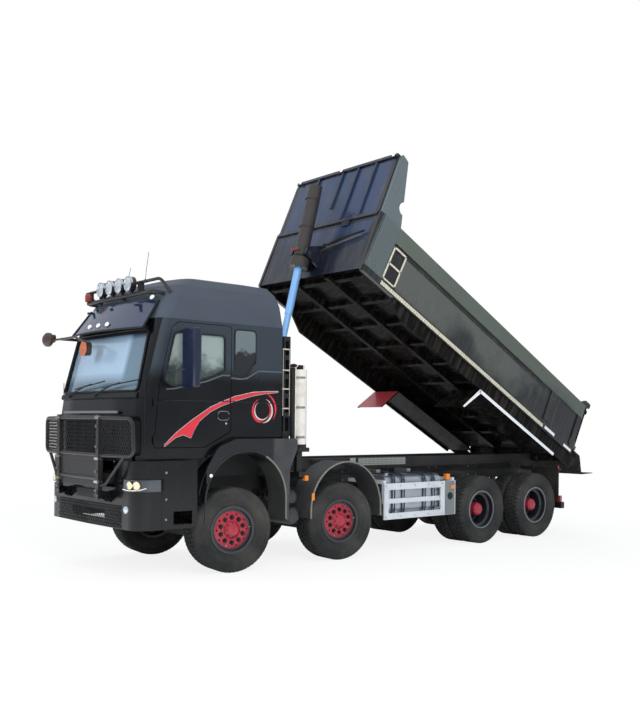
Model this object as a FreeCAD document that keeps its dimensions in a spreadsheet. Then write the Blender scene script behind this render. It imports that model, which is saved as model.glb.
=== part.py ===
import FreeCAD, Part
import math
import os
import Sketcher
from FreeCAD import Placement, Rotation, Vector

# An eight-wheeled dump truck with its bed raised, in millimetres.
# +X is the truck's left, -Y is forward and +Z is up. The ground is z = 0.
# Distances called "behind" or "along" are measured rearward from the first axle.

os.makedirs("parts", exist_ok=True)
doc = FreeCAD.newDocument("dump_truck")
sheet = doc.addObject("Spreadsheet::Sheet", "Sizes")

# name, value, meaning
SIZES = [
    # wheels and axles
    ("axle_one_y", -3149, "first axle, from the origin in the middle of the truck's length"),
    ("axle_two_along", 1795, "second axle behind the first"),
    ("axle_three_along", 4741, "third axle behind the first"),
    ("bogie_spacing", 1400, "fourth axle behind the third"),
    ("tyre_radius", 542, "outer radius of every tyre"),
    ("front_tyre_width", 380, "wide single tyre"),
    ("rear_tyre_width", 315, "twin tyre"),
    ("front_tyre_face", 1199, "outer face of a front tyre, straight ahead, from the centreline"),
    ("rear_tyre_face", 1249, "outer face of a rear tyre from the centreline"),
    ("twin_spacing", 350, "between the middles of twin tyres"),
    ("bead_radius", 286, "rim's bead seat"),
    ("flange_radius", 300, "rim's outer edge"),
    ("rim_wall", 14, "rim and disc"),
    ("bolt_circle", 335, "wheel bolts"),
    ("bolt_hole", 13, "radius of a wheel bolt hole"),
    ("hub_radius", 118, "hub behind the disc"),
    ("spindle_radius", 45, "axle's spindle"),
    ("drum_radius", 206, "brake drum"),
    ("running_gap", 0.5, "round a spindle, pin or ram tube"),
    ("kingpin_x", 930, "kingpin from the centreline"),
    ("kingpin_radius", 24, "kingpin"),
    ("steer_one", 9, "degrees the first wheels are turned"),
    ("steer_two", 6, "degrees the second wheels are turned"),
    # frame
    ("rail_outer", 430, "outer face of a frame rail from the centreline"),
    ("rail_flange", 85, "width of a rail"),
    ("rail_web", 10, "thickness of a rail"),
    ("rail_depth", 270, "height of a rail"),
    ("rail_bottom", 985, "underside of the rails"),
    ("frame_nose", 1250, "rails reach this far ahead of the first axle"),
    ("member_height", 150, "cross-member"),
    ("member_length", 90, "cross-member along the truck"),
    ("subframe_height", 130, "subframe on the rails"),
    ("subframe_width", 80, "subframe rail"),
    ("subframe_start", 900, "front of the subframe behind the first axle"),
    # bed hinge and ram
    ("hinge_overhang", 959, "bed hinge behind the fourth axle"),
    ("hinge_height", 1300, "bed hinge above the ground"),
    ("hinge_radius", 40, "hinge shaft"),
    ("hinge_lug_radius", 74, "ring round the shaft"),
    ("bed_tilt", 28, "degrees the bed is raised"),
    ("guard_clearance", 114, "side guard's end ahead of the third wheel"),
    ("tank_clearance", 389, "fuel tank's end ahead of the third wheel"),
    ("battery_clearance", 359, "battery box's end ahead of the third wheel"),
    ("ram_eye_along", 1100, "ram's lower eye behind the first axle"),
    ("ram_eye_height", 1100, "ram's lower eye"),
    ("trunnion_ahead", 256, "ram's upper trunnion ahead of the front wall's foot"),
    ("trunnion_rise", 363.5, "ram's upper trunnion above the bed's hinge, bed lowered"),
    ("trunnion_radius", 30, "trunnion pin"),
    ("cover_radius", 105, "ram's outer cover"),
    ("cover_wall", 10, "ram's outer cover"),
    ("cover_above", 1100, "cover above the trunnion"),
    ("cover_below", 220, "cover below the trunnion"),
    ("collar_radius", 145, "collar at the cover's mouth"),
    ("collar_height", 150, "collar at the cover's mouth"),
    ("stage_one_radius", 58, "largest ram tube"),
    ("stage_step", 9.5, "each ram tube is this much smaller"),
    ("stage_wall", 9, "ram tube"),
    ("stage_length", 1320, "ram tube"),
    ("stage_stagger", 50, "each tube's foot below the last one, ram closed"),
    ("stage_stroke", 709, "each tube's travel out at this tilt"),
    ("eye_radius", 52, "ram's eye"),
    ("eye_width", 90, "ram's eye across the truck"),
    # cab
    ("cab_half_width", 1120, "cab's side from the centreline"),
    ("cab_front", 1420, "cab's face ahead of the first axle"),
    ("cab_rear", 780, "cab's back wall behind the first axle"),
    ("cab_wall", 60, "cab wall and door"),
    ("cab_floor_front", 1460, "underside of the cab ahead of the wheels"),
    ("cab_floor_rear", 1720, "underside of the cab over the wheels"),
    ("roof_seam", 3165, "where the moulded roof starts"),
    ("roof_top", 3755, "top of the roof"),
    ("front_bulge", 85, "how far the cab's face curves back at its corners"),
    ("glass_thickness", 6, "glass"),
    ("door_gap", 8, "round a door"),
    ("door_front", 1160, "door's front edge at its foot, ahead of the first axle"),
    ("door_rear", 50, "door's rear edge ahead of the first axle"),
    ("door_bottom", 1590, "door's lower edge"),
    ("door_top", 3130, "door's upper edge"),
    ("door_hinge_out", 13, "door hinge's axis outside the cab's side"),
    # front end
    ("bumper_half_width", 1215, "bumper's side from the centreline"),
    ("bumper_front", 1450, "bumper's face ahead of the first axle"),
    ("bumper_bottom", 620, "bumper's lower edge"),
    ("bumper_top", 1440, "bumper's upper edge"),
    ("bumper_wall", 40, "bumper"),
    ("step_rear", 600, "step's rear edge ahead of the first axle"),
    ("bar_front", 1570, "bull bar's plane ahead of the first axle"),
    ("bar_tube", 30, "radius of a bull bar tube"),
    ("bar_pivot_height", 1030, "bull bar's pivot"),
    ("bar_half_width", 1230, "bull bar's side from the centreline"),
    ("bar_top", 1990, "bull bar's top"),
    ("post_x", 550, "bull bar's upright from the centreline"),
    # bed, measured from its hinge with the bed lowered
    ("bed_length", 5770, "front wall's foot ahead of the hinge"),
    ("bed_half_width", 1250, "bed's side from the centreline"),
    ("bed_wall", 40, "bed's side wall"),
    ("bed_floor_bottom", 200, "floor's underside above the hinge"),
    ("bed_floor_thickness", 45, "floor"),
    ("bed_side_top", 1062, "side wall's top above the hinge"),
    ("headboard_top", 1999, "front wall's top above the hinge"),
    ("headboard_lean", 146, "front wall's top leans this far forward"),
    ("beam_bottom", 91, "underside of the floor's beams above the hinge"),
    ("rail_box_height", 250, "top rail of the side wall"),
    ("strip_bottom", 92, "lower ledge of the side wall above the hinge"),
    ("strip_height", 120, "lower ledge of the side wall"),
    ("sill_bottom", -110, "sill's lower edge against the hinge's height"),
    ("gate_hinge_rear", 60, "tailgate's hinge behind the bed's hinge"),
    ("gate_hinge_height", 1120, "tailgate's hinge above the bed's hinge"),
    ("gate_thickness", 60, "tailgate"),
    ("gate_bottom", 255, "tailgate's lower edge above the hinge"),
]

names = set()
for row, (name, value, meaning) in enumerate(SIZES, start=1):
    sheet.set(f"A{row}", name)
    sheet.set(f"B{row}", str(value))
    sheet.set(f"C{row}", meaning)
    sheet.setAlias(f"B{row}", name)
    names.add(name)
doc.recompute()


class Size:
    """A number that carries the spreadsheet formula it came from."""

    def __init__(self, value, formula):
        self.value = float(value)
        self.formula = formula

    def _with(self, other, sign, value):
        return Size(value, f"({self.formula} {sign} {formula(other)})")

    def __add__(self, other):
        return self._with(other, "+", self.value + number(other))

    def __sub__(self, other):
        return self._with(other, "-", self.value - number(other))

    def __mul__(self, other):
        return self._with(other, "*", self.value * number(other))

    def __truediv__(self, other):
        return self._with(other, "/", self.value / number(other))

    def __radd__(self, other):
        return Size(number(other) + self.value, f"({formula(other)} + {self.formula})")

    def __rsub__(self, other):
        return Size(number(other) - self.value, f"({formula(other)} - {self.formula})")

    def __rmul__(self, other):
        return Size(number(other) * self.value, f"({formula(other)} * {self.formula})")

    def __neg__(self):
        return Size(-self.value, f"(0 - {self.formula})")

    def __float__(self):
        return self.value


class Sizes:
    """Looks a driving dimension up by its alias."""

    def __getattr__(self, name):
        return Size(sheet.get(name), "Sizes." + name)


def number(value):
    return float(value)


def formula(value):
    return value.formula if isinstance(value, Size) else repr(float(value))


size = Sizes()
nodes = {}


def bind(thing, prop, value):
    """Set a property, by its formula where it has one."""
    if isinstance(value, Size):
        thing.setExpression(prop, value.formula)
    else:
        setattr(thing, prop, value)


def place(thing, at, turn=None):
    """Put an object at a point, each coordinate bound to its formula."""
    turn = turn or Rotation()
    thing.Placement = Placement(Vector(*[number(value) for value in at]), turn)
    for axis, value in zip("xyz", at):
        if isinstance(value, Size):
            thing.setExpression(f"Placement.Base.{axis}", value.formula)
    return thing


def fresh(kind, name="Piece"):
    return doc.addObject(kind, name)


def box(length, width, height, at, turn=None):
    solid = fresh("Part::Box", "Block")
    bind(solid, "Length", length)
    bind(solid, "Width", width)
    bind(solid, "Height", height)
    return place(solid, at, turn)


ALONG = {
    "X": Rotation(Vector(0, 0, 1), Vector(1, 0, 0)),
    "Y": Rotation(Vector(0, 0, 1), Vector(0, 1, 0)),
    "Z": Rotation(),
}


def rod(radius, length, at, axis="X"):
    """A round bar from a point along an axis."""
    solid = fresh("Part::Cylinder", "Rod")
    bind(solid, "Radius", radius)
    bind(solid, "Height", length)
    turn = ALONG[axis] if isinstance(axis, str) else Rotation(Vector(0, 0, 1), axis)
    return place(solid, at, turn)


def cone(radius_1, radius_2, length, at, axis="X"):
    solid = fresh("Part::Cone", "Taper")
    bind(solid, "Radius1", radius_1)
    bind(solid, "Radius2", radius_2)
    bind(solid, "Height", length)
    turn = ALONG[axis] if isinstance(axis, str) else Rotation(Vector(0, 0, 1), axis)
    return place(solid, at, turn)


def cut(base, *tools):
    """Take the tools out of the base."""
    result = fresh("Part::Cut", "Cut")
    result.Base = base
    result.Tool = tools[0] if len(tools) == 1 else join(*tools)
    return result


def join(*pieces):
    """Pieces that touch become one solid, and the rest stay apart in one node."""
    if len(pieces) == 1:
        return pieces[0]
    result = fresh("Part::MultiFuse", "Joined")
    result.Shapes = list(pieces)
    result.Refine = True
    return result


def bolted(*pieces):
    """Pieces that meet face to face and stay solids of their own in one node."""
    result = fresh("Part::Compound", "Bolted")
    result.Links = list(pieces)
    return result


def common(*pieces):
    result = fresh("Part::MultiCommon", "Common")
    result.Shapes = list(pieces)
    return result


def mirrored(piece):
    """The same piece on the truck's other side."""
    result = fresh("Part::Mirroring", "Mirrored")
    result.Source = piece
    result.Base = Vector(0, 0, 0)
    result.Normal = Vector(1, 0, 0)
    return result


def both_sides(piece):
    return join(piece, mirrored(piece))


# Sketch planes: the sketch's own X and Y in the truck's axes.
PLANES = {
    "XY": Rotation(),
    "XZ": Rotation(Vector(1, 0, 0), Vector(0, 0, 1), Vector(0, -1, 0), "XZY"),
    "YZ": Rotation(Vector(0, 1, 0), Vector(0, 0, 1), Vector(1, 0, 0), "XZY"),
}
NORMALS = {"XY": Vector(0, 0, 1), "XZ": Vector(0, 1, 0), "YZ": Vector(1, 0, 0)}


def outline(sketch, corners):
    """Draw a closed outline. A corner is (across, up) or (across, up, radius)."""
    count = len(corners)
    points = [Vector(number(corner[0]), number(corner[1]), 0) for corner in corners]
    ends = []
    arcs = []
    for index, corner in enumerate(corners):
        here = points[index]
        radius = number(corner[2]) if len(corner) > 2 else 0
        back = (points[index - 1] - here).normalize()
        ahead = (points[(index + 1) % count] - here).normalize()
        if not radius:
            ends.append((here, here))
            arcs.append(None)
            continue
        half = back.getAngle(ahead) / 2
        reach = radius / math.tan(half)
        centre = here + (back + ahead).normalize() * (radius / math.sin(half))
        enter = here + back * reach
        leave = here + ahead * reach
        ends.append((enter, leave))
        arcs.append((centre, radius, enter, leave))
    lines = []
    for index in range(count):
        start = ends[index][1]
        end = ends[(index + 1) % count][0]
        lines.append(sketch.addGeometry(Part.LineSegment(start, end), False))
    for index, corner in enumerate(corners):
        before = lines[index - 1]
        after = lines[index]
        if arcs[index] is None:
            sketch.addConstraint(Sketcher.Constraint("Coincident", before, 2, after, 1))
            pin(sketch, after, corner)
            continue
        centre, radius, enter, leave = arcs[index]
        first = math.atan2(enter.y - centre.y, enter.x - centre.x)
        last = math.atan2(leave.y - centre.y, leave.x - centre.x)
        left_turn = (enter - centre).cross(leave - centre).z > 0
        circle = Part.Circle(centre, Vector(0, 0, 1), radius)
        if left_turn:
            arc = sketch.addGeometry(Part.ArcOfCircle(circle, first, last), False)
            enter_end, leave_end = 1, 2
        else:
            arc = sketch.addGeometry(Part.ArcOfCircle(circle, last, first), False)
            enter_end, leave_end = 2, 1
        sketch.addConstraint(Sketcher.Constraint("Tangent", before, 2, arc, enter_end))
        sketch.addConstraint(Sketcher.Constraint("Tangent", arc, leave_end, after, 1))
        datum = sketch.addConstraint(Sketcher.Constraint("Radius", arc, radius))
        if isinstance(corner[2], Size):
            sketch.setExpression(f"Constraints[{datum}]", corner[2].formula)
        corner_point = sketch.addGeometry(Part.Point(points[index]), True)
        sketch.addConstraint(Sketcher.Constraint("PointOnObject", corner_point, 1, before))
        sketch.addConstraint(Sketcher.Constraint("PointOnObject", corner_point, 1, after))
        pin(sketch, corner_point, corner)


def pin(sketch, geometry, corner):
    """Hold a point at its distances from the sketch's origin."""
    for kind, value in zip(("DistanceX", "DistanceY"), corner):
        constraint = Sketcher.Constraint(kind, -1, 1, geometry, 1, number(value))
        datum = sketch.addConstraint(constraint)
        if isinstance(value, Size):
            sketch.setExpression(f"Constraints[{datum}]", value.formula)


def draw(plane, corners, at=(0, 0, 0), name="Outline"):
    sketch = fresh("Sketcher::SketchObject", name)
    place(sketch, at, PLANES[plane])
    outline(sketch, corners)
    return sketch


def prism(plane, corners, start, length):
    """Draw an outline and give it a length along the plane's normal."""
    at = {"XY": (0, 0, start), "XZ": (0, start, 0), "YZ": (start, 0, 0)}[plane]
    result = fresh("Part::Extrusion", "Prism")
    result.Base = draw(plane, corners, at)
    result.DirMode = "Custom"
    result.Dir = NORMALS[plane]
    bind(result, "LengthFwd", length)
    result.Solid = True
    return result


def frame_of(distance):
    """A place along the truck, given behind the first axle."""
    return size.axle_one_y + distance


def keep(name, piece):
    """Give a finished piece its node name."""
    piece.Label = name
    nodes[name] = piece
    return piece


# ---------------------------------------------------------------- frame

RAIL_TOP = size.rail_bottom + size.rail_depth
SUBFRAME_TOP = RAIL_TOP + size.subframe_height
AXLE_FOUR = size.axle_three_along + size.bogie_spacing
HINGE_ALONG = AXLE_FOUR + size.hinge_overhang
HINGE_Y = frame_of(HINGE_ALONG)
RAM_EYE_Y = frame_of(size.ram_eye_along)
AXLES = {
    1: size.axle_one_y,
    2: frame_of(size.axle_two_along),
    3: frame_of(size.axle_three_along),
    4: frame_of(AXLE_FOUR),
}

# cross-members: place behind the first axle, height above the rails' underside
MEMBERS = [
    (-1200, 60), (640, 110), (1540, 110), (2450, 110), (3400, 110),
    (4330, 110), (size.axle_three_along + 655, 110), (HINGE_ALONG - 540, 60),
    (HINGE_ALONG - 140, 60),
]


def channel(inner, outer, bottom, depth, flange, web, start, length):
    """A rolled channel that opens toward the centreline."""
    corners = [
        (outer, bottom), (outer, bottom + depth), (inner, bottom + depth),
        (inner, bottom + depth - web), (outer - web, bottom + depth - web),
        (outer - web, bottom + web), (inner, bottom + web), (inner, bottom),
    ]
    return prism("XZ", corners, start, length)


def frame_rails():
    start = size.axle_one_y - size.frame_nose
    length = size.frame_nose + HINGE_ALONG - 60
    inner = size.rail_outer - size.rail_flange
    rail = channel(inner, size.rail_outer, size.rail_bottom, size.rail_depth,
                   size.rail_flange, size.rail_web, start, length)
    pieces = [both_sides(rail)]
    across = 2 * (size.rail_outer - size.rail_web)
    for along, height in MEMBERS:
        at = (size.rail_web - size.rail_outer, frame_of(along), size.rail_bottom + height - 50)
        pieces.append(box(across, size.member_length, size.member_height, at))
    # posts that carry the cab, and the arch behind it
    post = box(80, 90, size.cab_floor_front - RAIL_TOP,
               (size.rail_outer - 80, frame_of(-1150), RAIL_TOP))
    rear_post = box(80, 90, size.cab_floor_rear - RAIL_TOP,
                    (size.rail_outer - 80, frame_of(560), RAIL_TOP))
    pieces.append(both_sides(post))
    pieces.append(both_sides(rear_post))
    pieces.append(box(2 * (size.rail_outer - 80), 90, 60, (80 - size.rail_outer, frame_of(560),
                                                           size.cab_floor_rear - 60)))
    # front member with the tow jaw's block
    pieces.append(box(2 * size.rail_outer, 60, size.rail_depth,
                      (-size.rail_outer, start - 60, size.rail_bottom)))
    tow_block = box(160, 70, 160, (-80, start - 130, size.rail_bottom + 55))
    tow_hole = rod(25, 200, (0, start - 95, size.rail_bottom + 35), "Z")
    pieces.append(cut(tow_block, tow_hole))
    return bolted(*pieces)


def tipper_subframe():
    start = frame_of(size.subframe_start)
    length = HINGE_ALONG - size.subframe_start
    inside = size.rail_outer - size.subframe_width
    rail = box(size.subframe_width, length, size.subframe_height, (inside, start, RAIL_TOP))
    # ears at the rear end, with a stub of the hinge shaft outside each
    ear = rod(size.hinge_lug_radius, size.subframe_width,
              (inside, HINGE_Y, size.hinge_height), "X")
    foot = box(size.subframe_width, 220, 60, (inside, HINGE_Y - 220, RAIL_TOP))
    stub = rod(size.hinge_radius, 520 - inside, (inside, HINGE_Y, size.hinge_height), "X")
    pieces = [both_sides(join(rail, ear, foot, stub)),
              rod(size.hinge_radius, 2 * inside, (-inside, HINGE_Y, size.hinge_height), "X")]
    for along in (900, 1360, 2100, 3100, 4100, size.axle_three_along + 655, HINGE_ALONG - 600):
        pieces.append(box(2 * inside, 80, size.subframe_height - 40,
                          (-inside, frame_of(along), RAIL_TOP)))
    # cross-box with the ears either side of the ram's lower eye on its rear face
    reach, deep = 220, 80
    cross = box(2 * (size.rail_outer - size.rail_web), deep, 150,
                (size.rail_web - size.rail_outer, RAM_EYE_Y - reach, RAIL_TOP - 190))
    side = size.eye_width / 2 + 20
    ram_ear = join(
        rod(70, 30, (side, RAM_EYE_Y, size.ram_eye_height), "X"),
        box(30, reach - deep, 110, (side, RAM_EYE_Y - reach + deep, size.ram_eye_height - 50)))
    pieces += [cross, both_sides(ram_ear)]
    return bolted(*pieces)


# ---------------------------------------------------------------- axles

FRONT_WHEEL_X = size.front_tyre_face - size.front_tyre_width / 2
TWIN_OUTER_X = size.rear_tyre_face - size.rear_tyre_width / 2
TWIN_INNER_X = TWIN_OUTER_X - size.twin_spacing
HUB_HEIGHT = size.tyre_radius
BEAM_DROP = 130


def steered_beam(axle_y):
    """An I-beam that drops between two kingpin eyes."""
    eye = size.kingpin_x
    low = HUB_HEIGHT - BEAM_DROP
    corners = [
        (-eye, HUB_HEIGHT + 45), (-eye, HUB_HEIGHT - 45), (-660, HUB_HEIGHT - 60, 60),
        (-520, low - 50, 80), (520, low - 50, 80), (660, HUB_HEIGHT - 60, 60),
        (eye, HUB_HEIGHT - 45), (eye, HUB_HEIGHT + 45), (640, HUB_HEIGHT + 45, 60),
        (480, low + 50, 80), (-480, low + 50, 80), (-640, HUB_HEIGHT + 45, 60),
    ]
    beam = prism("XZ", corners, axle_y - 50, 100)
    eyes = both_sides(rod(52, 100, (eye, axle_y, HUB_HEIGHT - 50), "Z"))
    holes = both_sides(rod(size.kingpin_radius + size.running_gap, 140,
                           (eye, axle_y, HUB_HEIGHT - 70), "Z"))
    pads = both_sides(box(100, 150, 130, (335, axle_y - 75, low + 40)))
    return cut(join(beam, eyes, pads), holes)


def driven_housing(axle_y):
    """A differential's bowl between two tapered tubes that end in spindles."""
    end = TWIN_INNER_X - 130
    bowl = fresh("Part::Sphere", "Bowl")
    bind(bowl, "Radius", 215)
    place(bowl, (0, axle_y, HUB_HEIGHT))
    nose = cone(130, 75, 190, (0, axle_y - 150, HUB_HEIGHT), Vector(0, -1, 0))
    tube = cone(115, 75, end, (0, axle_y, HUB_HEIGHT), "X")
    spindle = rod(size.spindle_radius, TWIN_OUTER_X - end + 40, (end, axle_y, HUB_HEIGHT), "X")
    pad = box(100, 170, 110, (335, axle_y - 85, HUB_HEIGHT + 40))
    return join(bowl, nose, both_sides(tube), both_sides(spindle), both_sides(pad))


# half of each spring pack: half length, rise at the ends, bottom of the middle, thickness
SPRING_WIDTH = 85


def spring_pack(middle_y, half, seat, rise):
    """Leaves that shorten downward, as one arched pack with eyes at its ends."""
    leaves = []
    for index in range(3):
        reach = half - index * half * 0.22
        low = seat + (2 - index) * 22
        lift = rise * (reach / half) ** 2
        corners = [
            (middle_y - reach, low + lift), (middle_y - reach * 0.5, low + lift * 0.25, 900),
            (middle_y - 85, low, 300), (middle_y + 85, low, 300),
            (middle_y + reach * 0.5, low + lift * 0.25, 900),
            (middle_y + reach, low + lift), (middle_y + reach, low + lift + 22),
            (middle_y + reach * 0.5, low + lift * 0.25 + 22, 900),
            (middle_y + 85, low + 22, 300), (middle_y - 85, low + 22, 300),
            (middle_y - reach * 0.5, low + lift * 0.25 + 22, 900),
            (middle_y - reach, low + lift + 22),
        ]
        leaves.append(prism("YZ", corners, 345, SPRING_WIDTH))
    return join(*leaves)


def hanger(at_y, bottom):
    """A bracket from the rail's underside down to a spring's end."""
    top = size.rail_bottom
    corners = [(at_y - 90, top), (at_y + 90, top), (at_y + 45, bottom), (at_y - 45, bottom)]
    return prism("YZ", corners, 345, SPRING_WIDTH)


def leaf_springs():
    pieces = []
    for axle in (1, 2):
        seat = HUB_HEIGHT - BEAM_DROP + 170
        half = 740
        rise = 150
        pieces.append(spring_pack(AXLES[axle], half, seat, rise))
        for end in (-1, 1):
            pieces.append(hanger(AXLES[axle] + end * (half - 60), seat + 44 + rise - 30))
    middle = (AXLES[3] + AXLES[4]) / 2
    half = (AXLES[4] - AXLES[3]) / 2 + 40
    seat = HUB_HEIGHT + 150
    # the bogie's springs are turned over: they sit under a saddle and press on both axles
    pieces.append(box(SPRING_WIDTH, 2 * half, 62, (345, middle - half, seat)))
    pieces.append(hanger(middle, seat + 62))
    return both_sides(join(*pieces))


def engine_block():
    width = 2 * (size.rail_outer - size.rail_flange - 25)
    block = box(width, 1150, 620, (-width / 2, frame_of(-820), 700))
    feet = [box(2 * (size.rail_outer - size.rail_web), 80, 60,
                (size.rail_web - size.rail_outer, frame_of(along), size.rail_bottom + 60))
            for along in (-620, 120)]
    return join(block, *feet)


def shaft_between(start, end, radius):
    """A propeller shaft with a flange at each end."""
    line = Vector(0, number(end[1]) - number(start[1]), number(end[2]) - number(start[2]))
    reach = line.Length
    way = Vector(line).normalize()
    bar = rod(radius, reach, start, way)
    front = rod(radius + 25, 30, start, way)
    back_at = Vector(0, number(end[1]), number(end[2])) - way * 30
    back = rod(radius + 25, 30, (0, back_at.y, back_at.z), way)
    return join(bar, front, back)


def propeller_shafts():
    front = shaft_between((0, frame_of(336), 840),
                          (0, AXLES[3] - 346, HUB_HEIGHT + 20), 50)
    rear = shaft_between((0, AXLES[3] + 216, HUB_HEIGHT + 20),
                         (0, AXLES[4] - 342, HUB_HEIGHT + 10), 50)
    return join(front, rear)


# ---------------------------------------------------------------- wheels

def revolved(name, corners):
    """A PartDesign body: a section of (along the axis, radius) turned about X."""
    body = fresh("PartDesign::Body", name)
    sketch = body.newObject("Sketcher::SketchObject", name + "_section")
    plane = next(item for item in body.Origin.OriginFeatures if item.Role == "XY_Plane")
    sketch.AttachmentSupport = (plane, "")
    sketch.MapMode = "FlatFace"
    outline(sketch, corners)
    turned = body.newObject("PartDesign::Revolution", name + "_turned")
    turned.Profile = sketch
    turned.ReferenceAxis = (sketch, ["H_Axis"])
    turned.Angle = 360
    sketch.Visibility = False
    return body


FRONT_RIM_HALF = 152
REAR_RIM_HALF = 120


def front_rim(name):
    """Hub, drum, disc and drop-centre barrel of a wide single wheel."""
    seat = size.bead_radius - 0.3
    bore = size.spindle_radius + size.running_gap
    well = size.bead_radius - 35
    inner = size.bead_radius - 16
    rim = FRONT_RIM_HALF
    return revolved(name, [
        (6, bore), (108, bore), (108, 0), (182, 0), (176, 66, 14), (148, 100, 8),
        (130, 114), (124, 196, 30), (112, 232), (118, 262), (rim, inner),
        (rim, size.flange_radius), (rim - 12, size.flange_radius), (rim - 12, seat),
        (92, seat), (72, well), (-14, well), (-36, seat), (12 - rim, seat),
        (12 - rim, size.flange_radius), (-rim, size.flange_radius), (-rim, inner),
        (-44, inner), (-24, well - 15), (78, well - 15), (96, 224), (99, 190), (99, 150),
        (84, 150), (84, size.drum_radius), (6, size.drum_radius),
    ])


def rear_rim(name):
    """Two rims back to back on one hub, the outer one deeply dished."""
    seat = size.bead_radius - 0.3
    bore = size.spindle_radius + size.running_gap
    well = size.bead_radius - 35
    inner = size.bead_radius - 16
    rim = REAR_RIM_HALF
    disc = -size.twin_spacing / 2
    far = -size.twin_spacing
    back = far - 80
    return revolved(name, [
        (back, bore), (45, bore), (45, 0), (74, 0), (68, 72, 12), (40, 102, 8),
        (disc + 16, size.hub_radius), (disc + 16, 190), (disc + 24, 226, 18),
        (-66, well - 15), (28, well - 15), (50, inner), (rim, inner),
        (rim, size.flange_radius), (rim - 12, size.flange_radius), (rim - 12, seat),
        (44, seat), (26, well), (-40, well), (-58, seat), (12 - rim, seat),
        (12 - rim, size.flange_radius), (-rim, size.flange_radius), (-rim, inner),
        (disc, 214), (far + rim, inner),
        (far + rim, size.flange_radius), (far + rim - 12, size.flange_radius),
        (far + rim - 12, seat), (far + 58, seat), (far + 40, well), (far - 26, well),
        (far - 44, seat), (far - rim + 12, seat), (far - rim + 12, size.flange_radius),
        (far - rim, size.flange_radius), (far - rim, inner), (far - 50, inner),
        (far - 28, well - 15), (far + 66, well - 15), (disc - 24, 226, 18),
        (disc - 16, 190), (disc - 16, 150), (disc - 34, 150),
        (disc - 34, size.drum_radius), (back, size.drum_radius),
    ])


def pierced(rim, disc_at, reach, circle, radius, count):
    """Cut a ring of round holes through a wheel's disc."""
    holes = []
    for index in range(count):
        angle = 2 * math.pi * index / count
        across = number(circle) / 2 * math.cos(angle)
        up = number(circle) / 2 * math.sin(angle)
        holes.append(rod(radius, reach, (disc_at, across, up), "X"))
    return cut(rim, *holes)


def tyre(name, width, rim_half, offsets):
    """Tyres with rounded shoulders, seated between their rim's flanges."""
    half = width / 2
    bead = rim_half - 12.3
    rings = []
    for index, offset in enumerate(offsets):
        corners = [
            (offset - bead, size.bead_radius), (offset - bead, size.flange_radius + 0.5),
            (offset - half, size.bead_radius + 105, 60),
            (offset - half, size.tyre_radius - 26, 40),
            (offset - half + 40, size.tyre_radius, 30),
            (offset + half - 40, size.tyre_radius, 30),
            (offset + half, size.tyre_radius - 26, 40),
            (offset + half, size.bead_radius + 105, 60),
            (offset + bead, size.flange_radius + 0.5), (offset + bead, size.bead_radius),
        ]
        rings.append(revolved(f"{name}_ring_{index + 1}", corners))
    return join(*rings)


def set_wheel(piece, axle, side, steer):
    """Put a wheel or knuckle, made about the wheel's own middle, on its axle."""
    turn = Placement(Vector(), Rotation(Vector(0, 0, 1), 0 if side > 0 else 180))
    if steer is None:
        middle = Placement(Vector(side * number(TWIN_OUTER_X), number(AXLES[axle]),
                                  number(HUB_HEIGHT)), Rotation())
        piece.Placement = middle * turn
        return
    pin_at = Placement(Vector(side * number(size.kingpin_x), number(AXLES[axle]),
                              number(HUB_HEIGHT)),
                       Rotation(Vector(0, 0, 1), -number(steer)))
    reach = side * (number(FRONT_WHEEL_X) - number(size.kingpin_x))
    piece.Placement = pin_at * Placement(Vector(reach, 0, 0), Rotation()) * turn


def knuckle():
    """Ears round the beam's eye, the kingpin, a backing plate and the spindle."""
    pin_back = size.kingpin_x - FRONT_WHEEL_X
    ear_reach = 0 - pin_back - 12
    pieces = [rod(size.kingpin_radius, 190, (pin_back, 0, -95), "Z")]
    for low in (-95, 56):
        pieces.append(rod(52, 39, (pin_back, 0, low), "Z"))
        pieces.append(box(ear_reach, 104, 39, (pin_back, -52, low)))
    pieces.append(rod(150, 18, (-18, 0, 0), "X"))
    pieces.append(rod(190, 6, (-6, 0, 0), "X"))
    pieces.append(rod(size.spindle_radius, 104, (-4, 0, 0), "X"))
    # arm that the steering rod pushes
    pieces.append(box(34, 190, 34, (pin_back - 10, 40, -92)))
    return join(*pieces)


SIDES = {"left": 1, "right": -1}
STEERED = {1: size.steer_one, 2: size.steer_two}


def wheels():
    for axle in (1, 2, 3, 4):
        for side_name, side in SIDES.items():
            steer = STEERED.get(axle)
            tyre_name = f"tyre_{axle}_{side_name}"
            rim_name = f"rim_{axle}_{side_name}"
            if steer is not None:
                rim = pierced(front_rim(rim_name + "_body"), 86, 60, 2 * 207, 12, 10)
                ring = tyre(tyre_name, size.front_tyre_width, FRONT_RIM_HALF, [0])
                hub = keep(f"knuckle_{axle}_{side_name}", knuckle())
                set_wheel(hub, axle, side, steer)
            else:
                disc = -size.twin_spacing / 2
                rim = pierced(rear_rim(rim_name + "_body"), disc - 40, 80, 2 * 190, 17, 10)
                ring = tyre(tyre_name, size.rear_tyre_width, REAR_RIM_HALF,
                            [0, -size.twin_spacing])
            for piece, name in ((rim, rim_name), (ring, tyre_name)):
                keep(name, piece)
                set_wheel(piece, axle, side, steer)


# ---------------------------------------------------------------- chassis fittings

def corner_shell(half, front, rear, wall, bottom, height, radius):
    """A wrap-round bumper: a U in plan with rounded front corners."""
    outer = [(-half, rear), (-half, front + 30, radius), (0, front), (half, front + 30, radius),
             (half, rear), (half - wall, rear), (half - wall, front + 30 + wall, radius - wall),
             (0, front + wall), (wall - half, front + 30 + wall, radius - wall),
             (wall - half, rear)]
    return prism("XY", outer, bottom, height)


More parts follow.
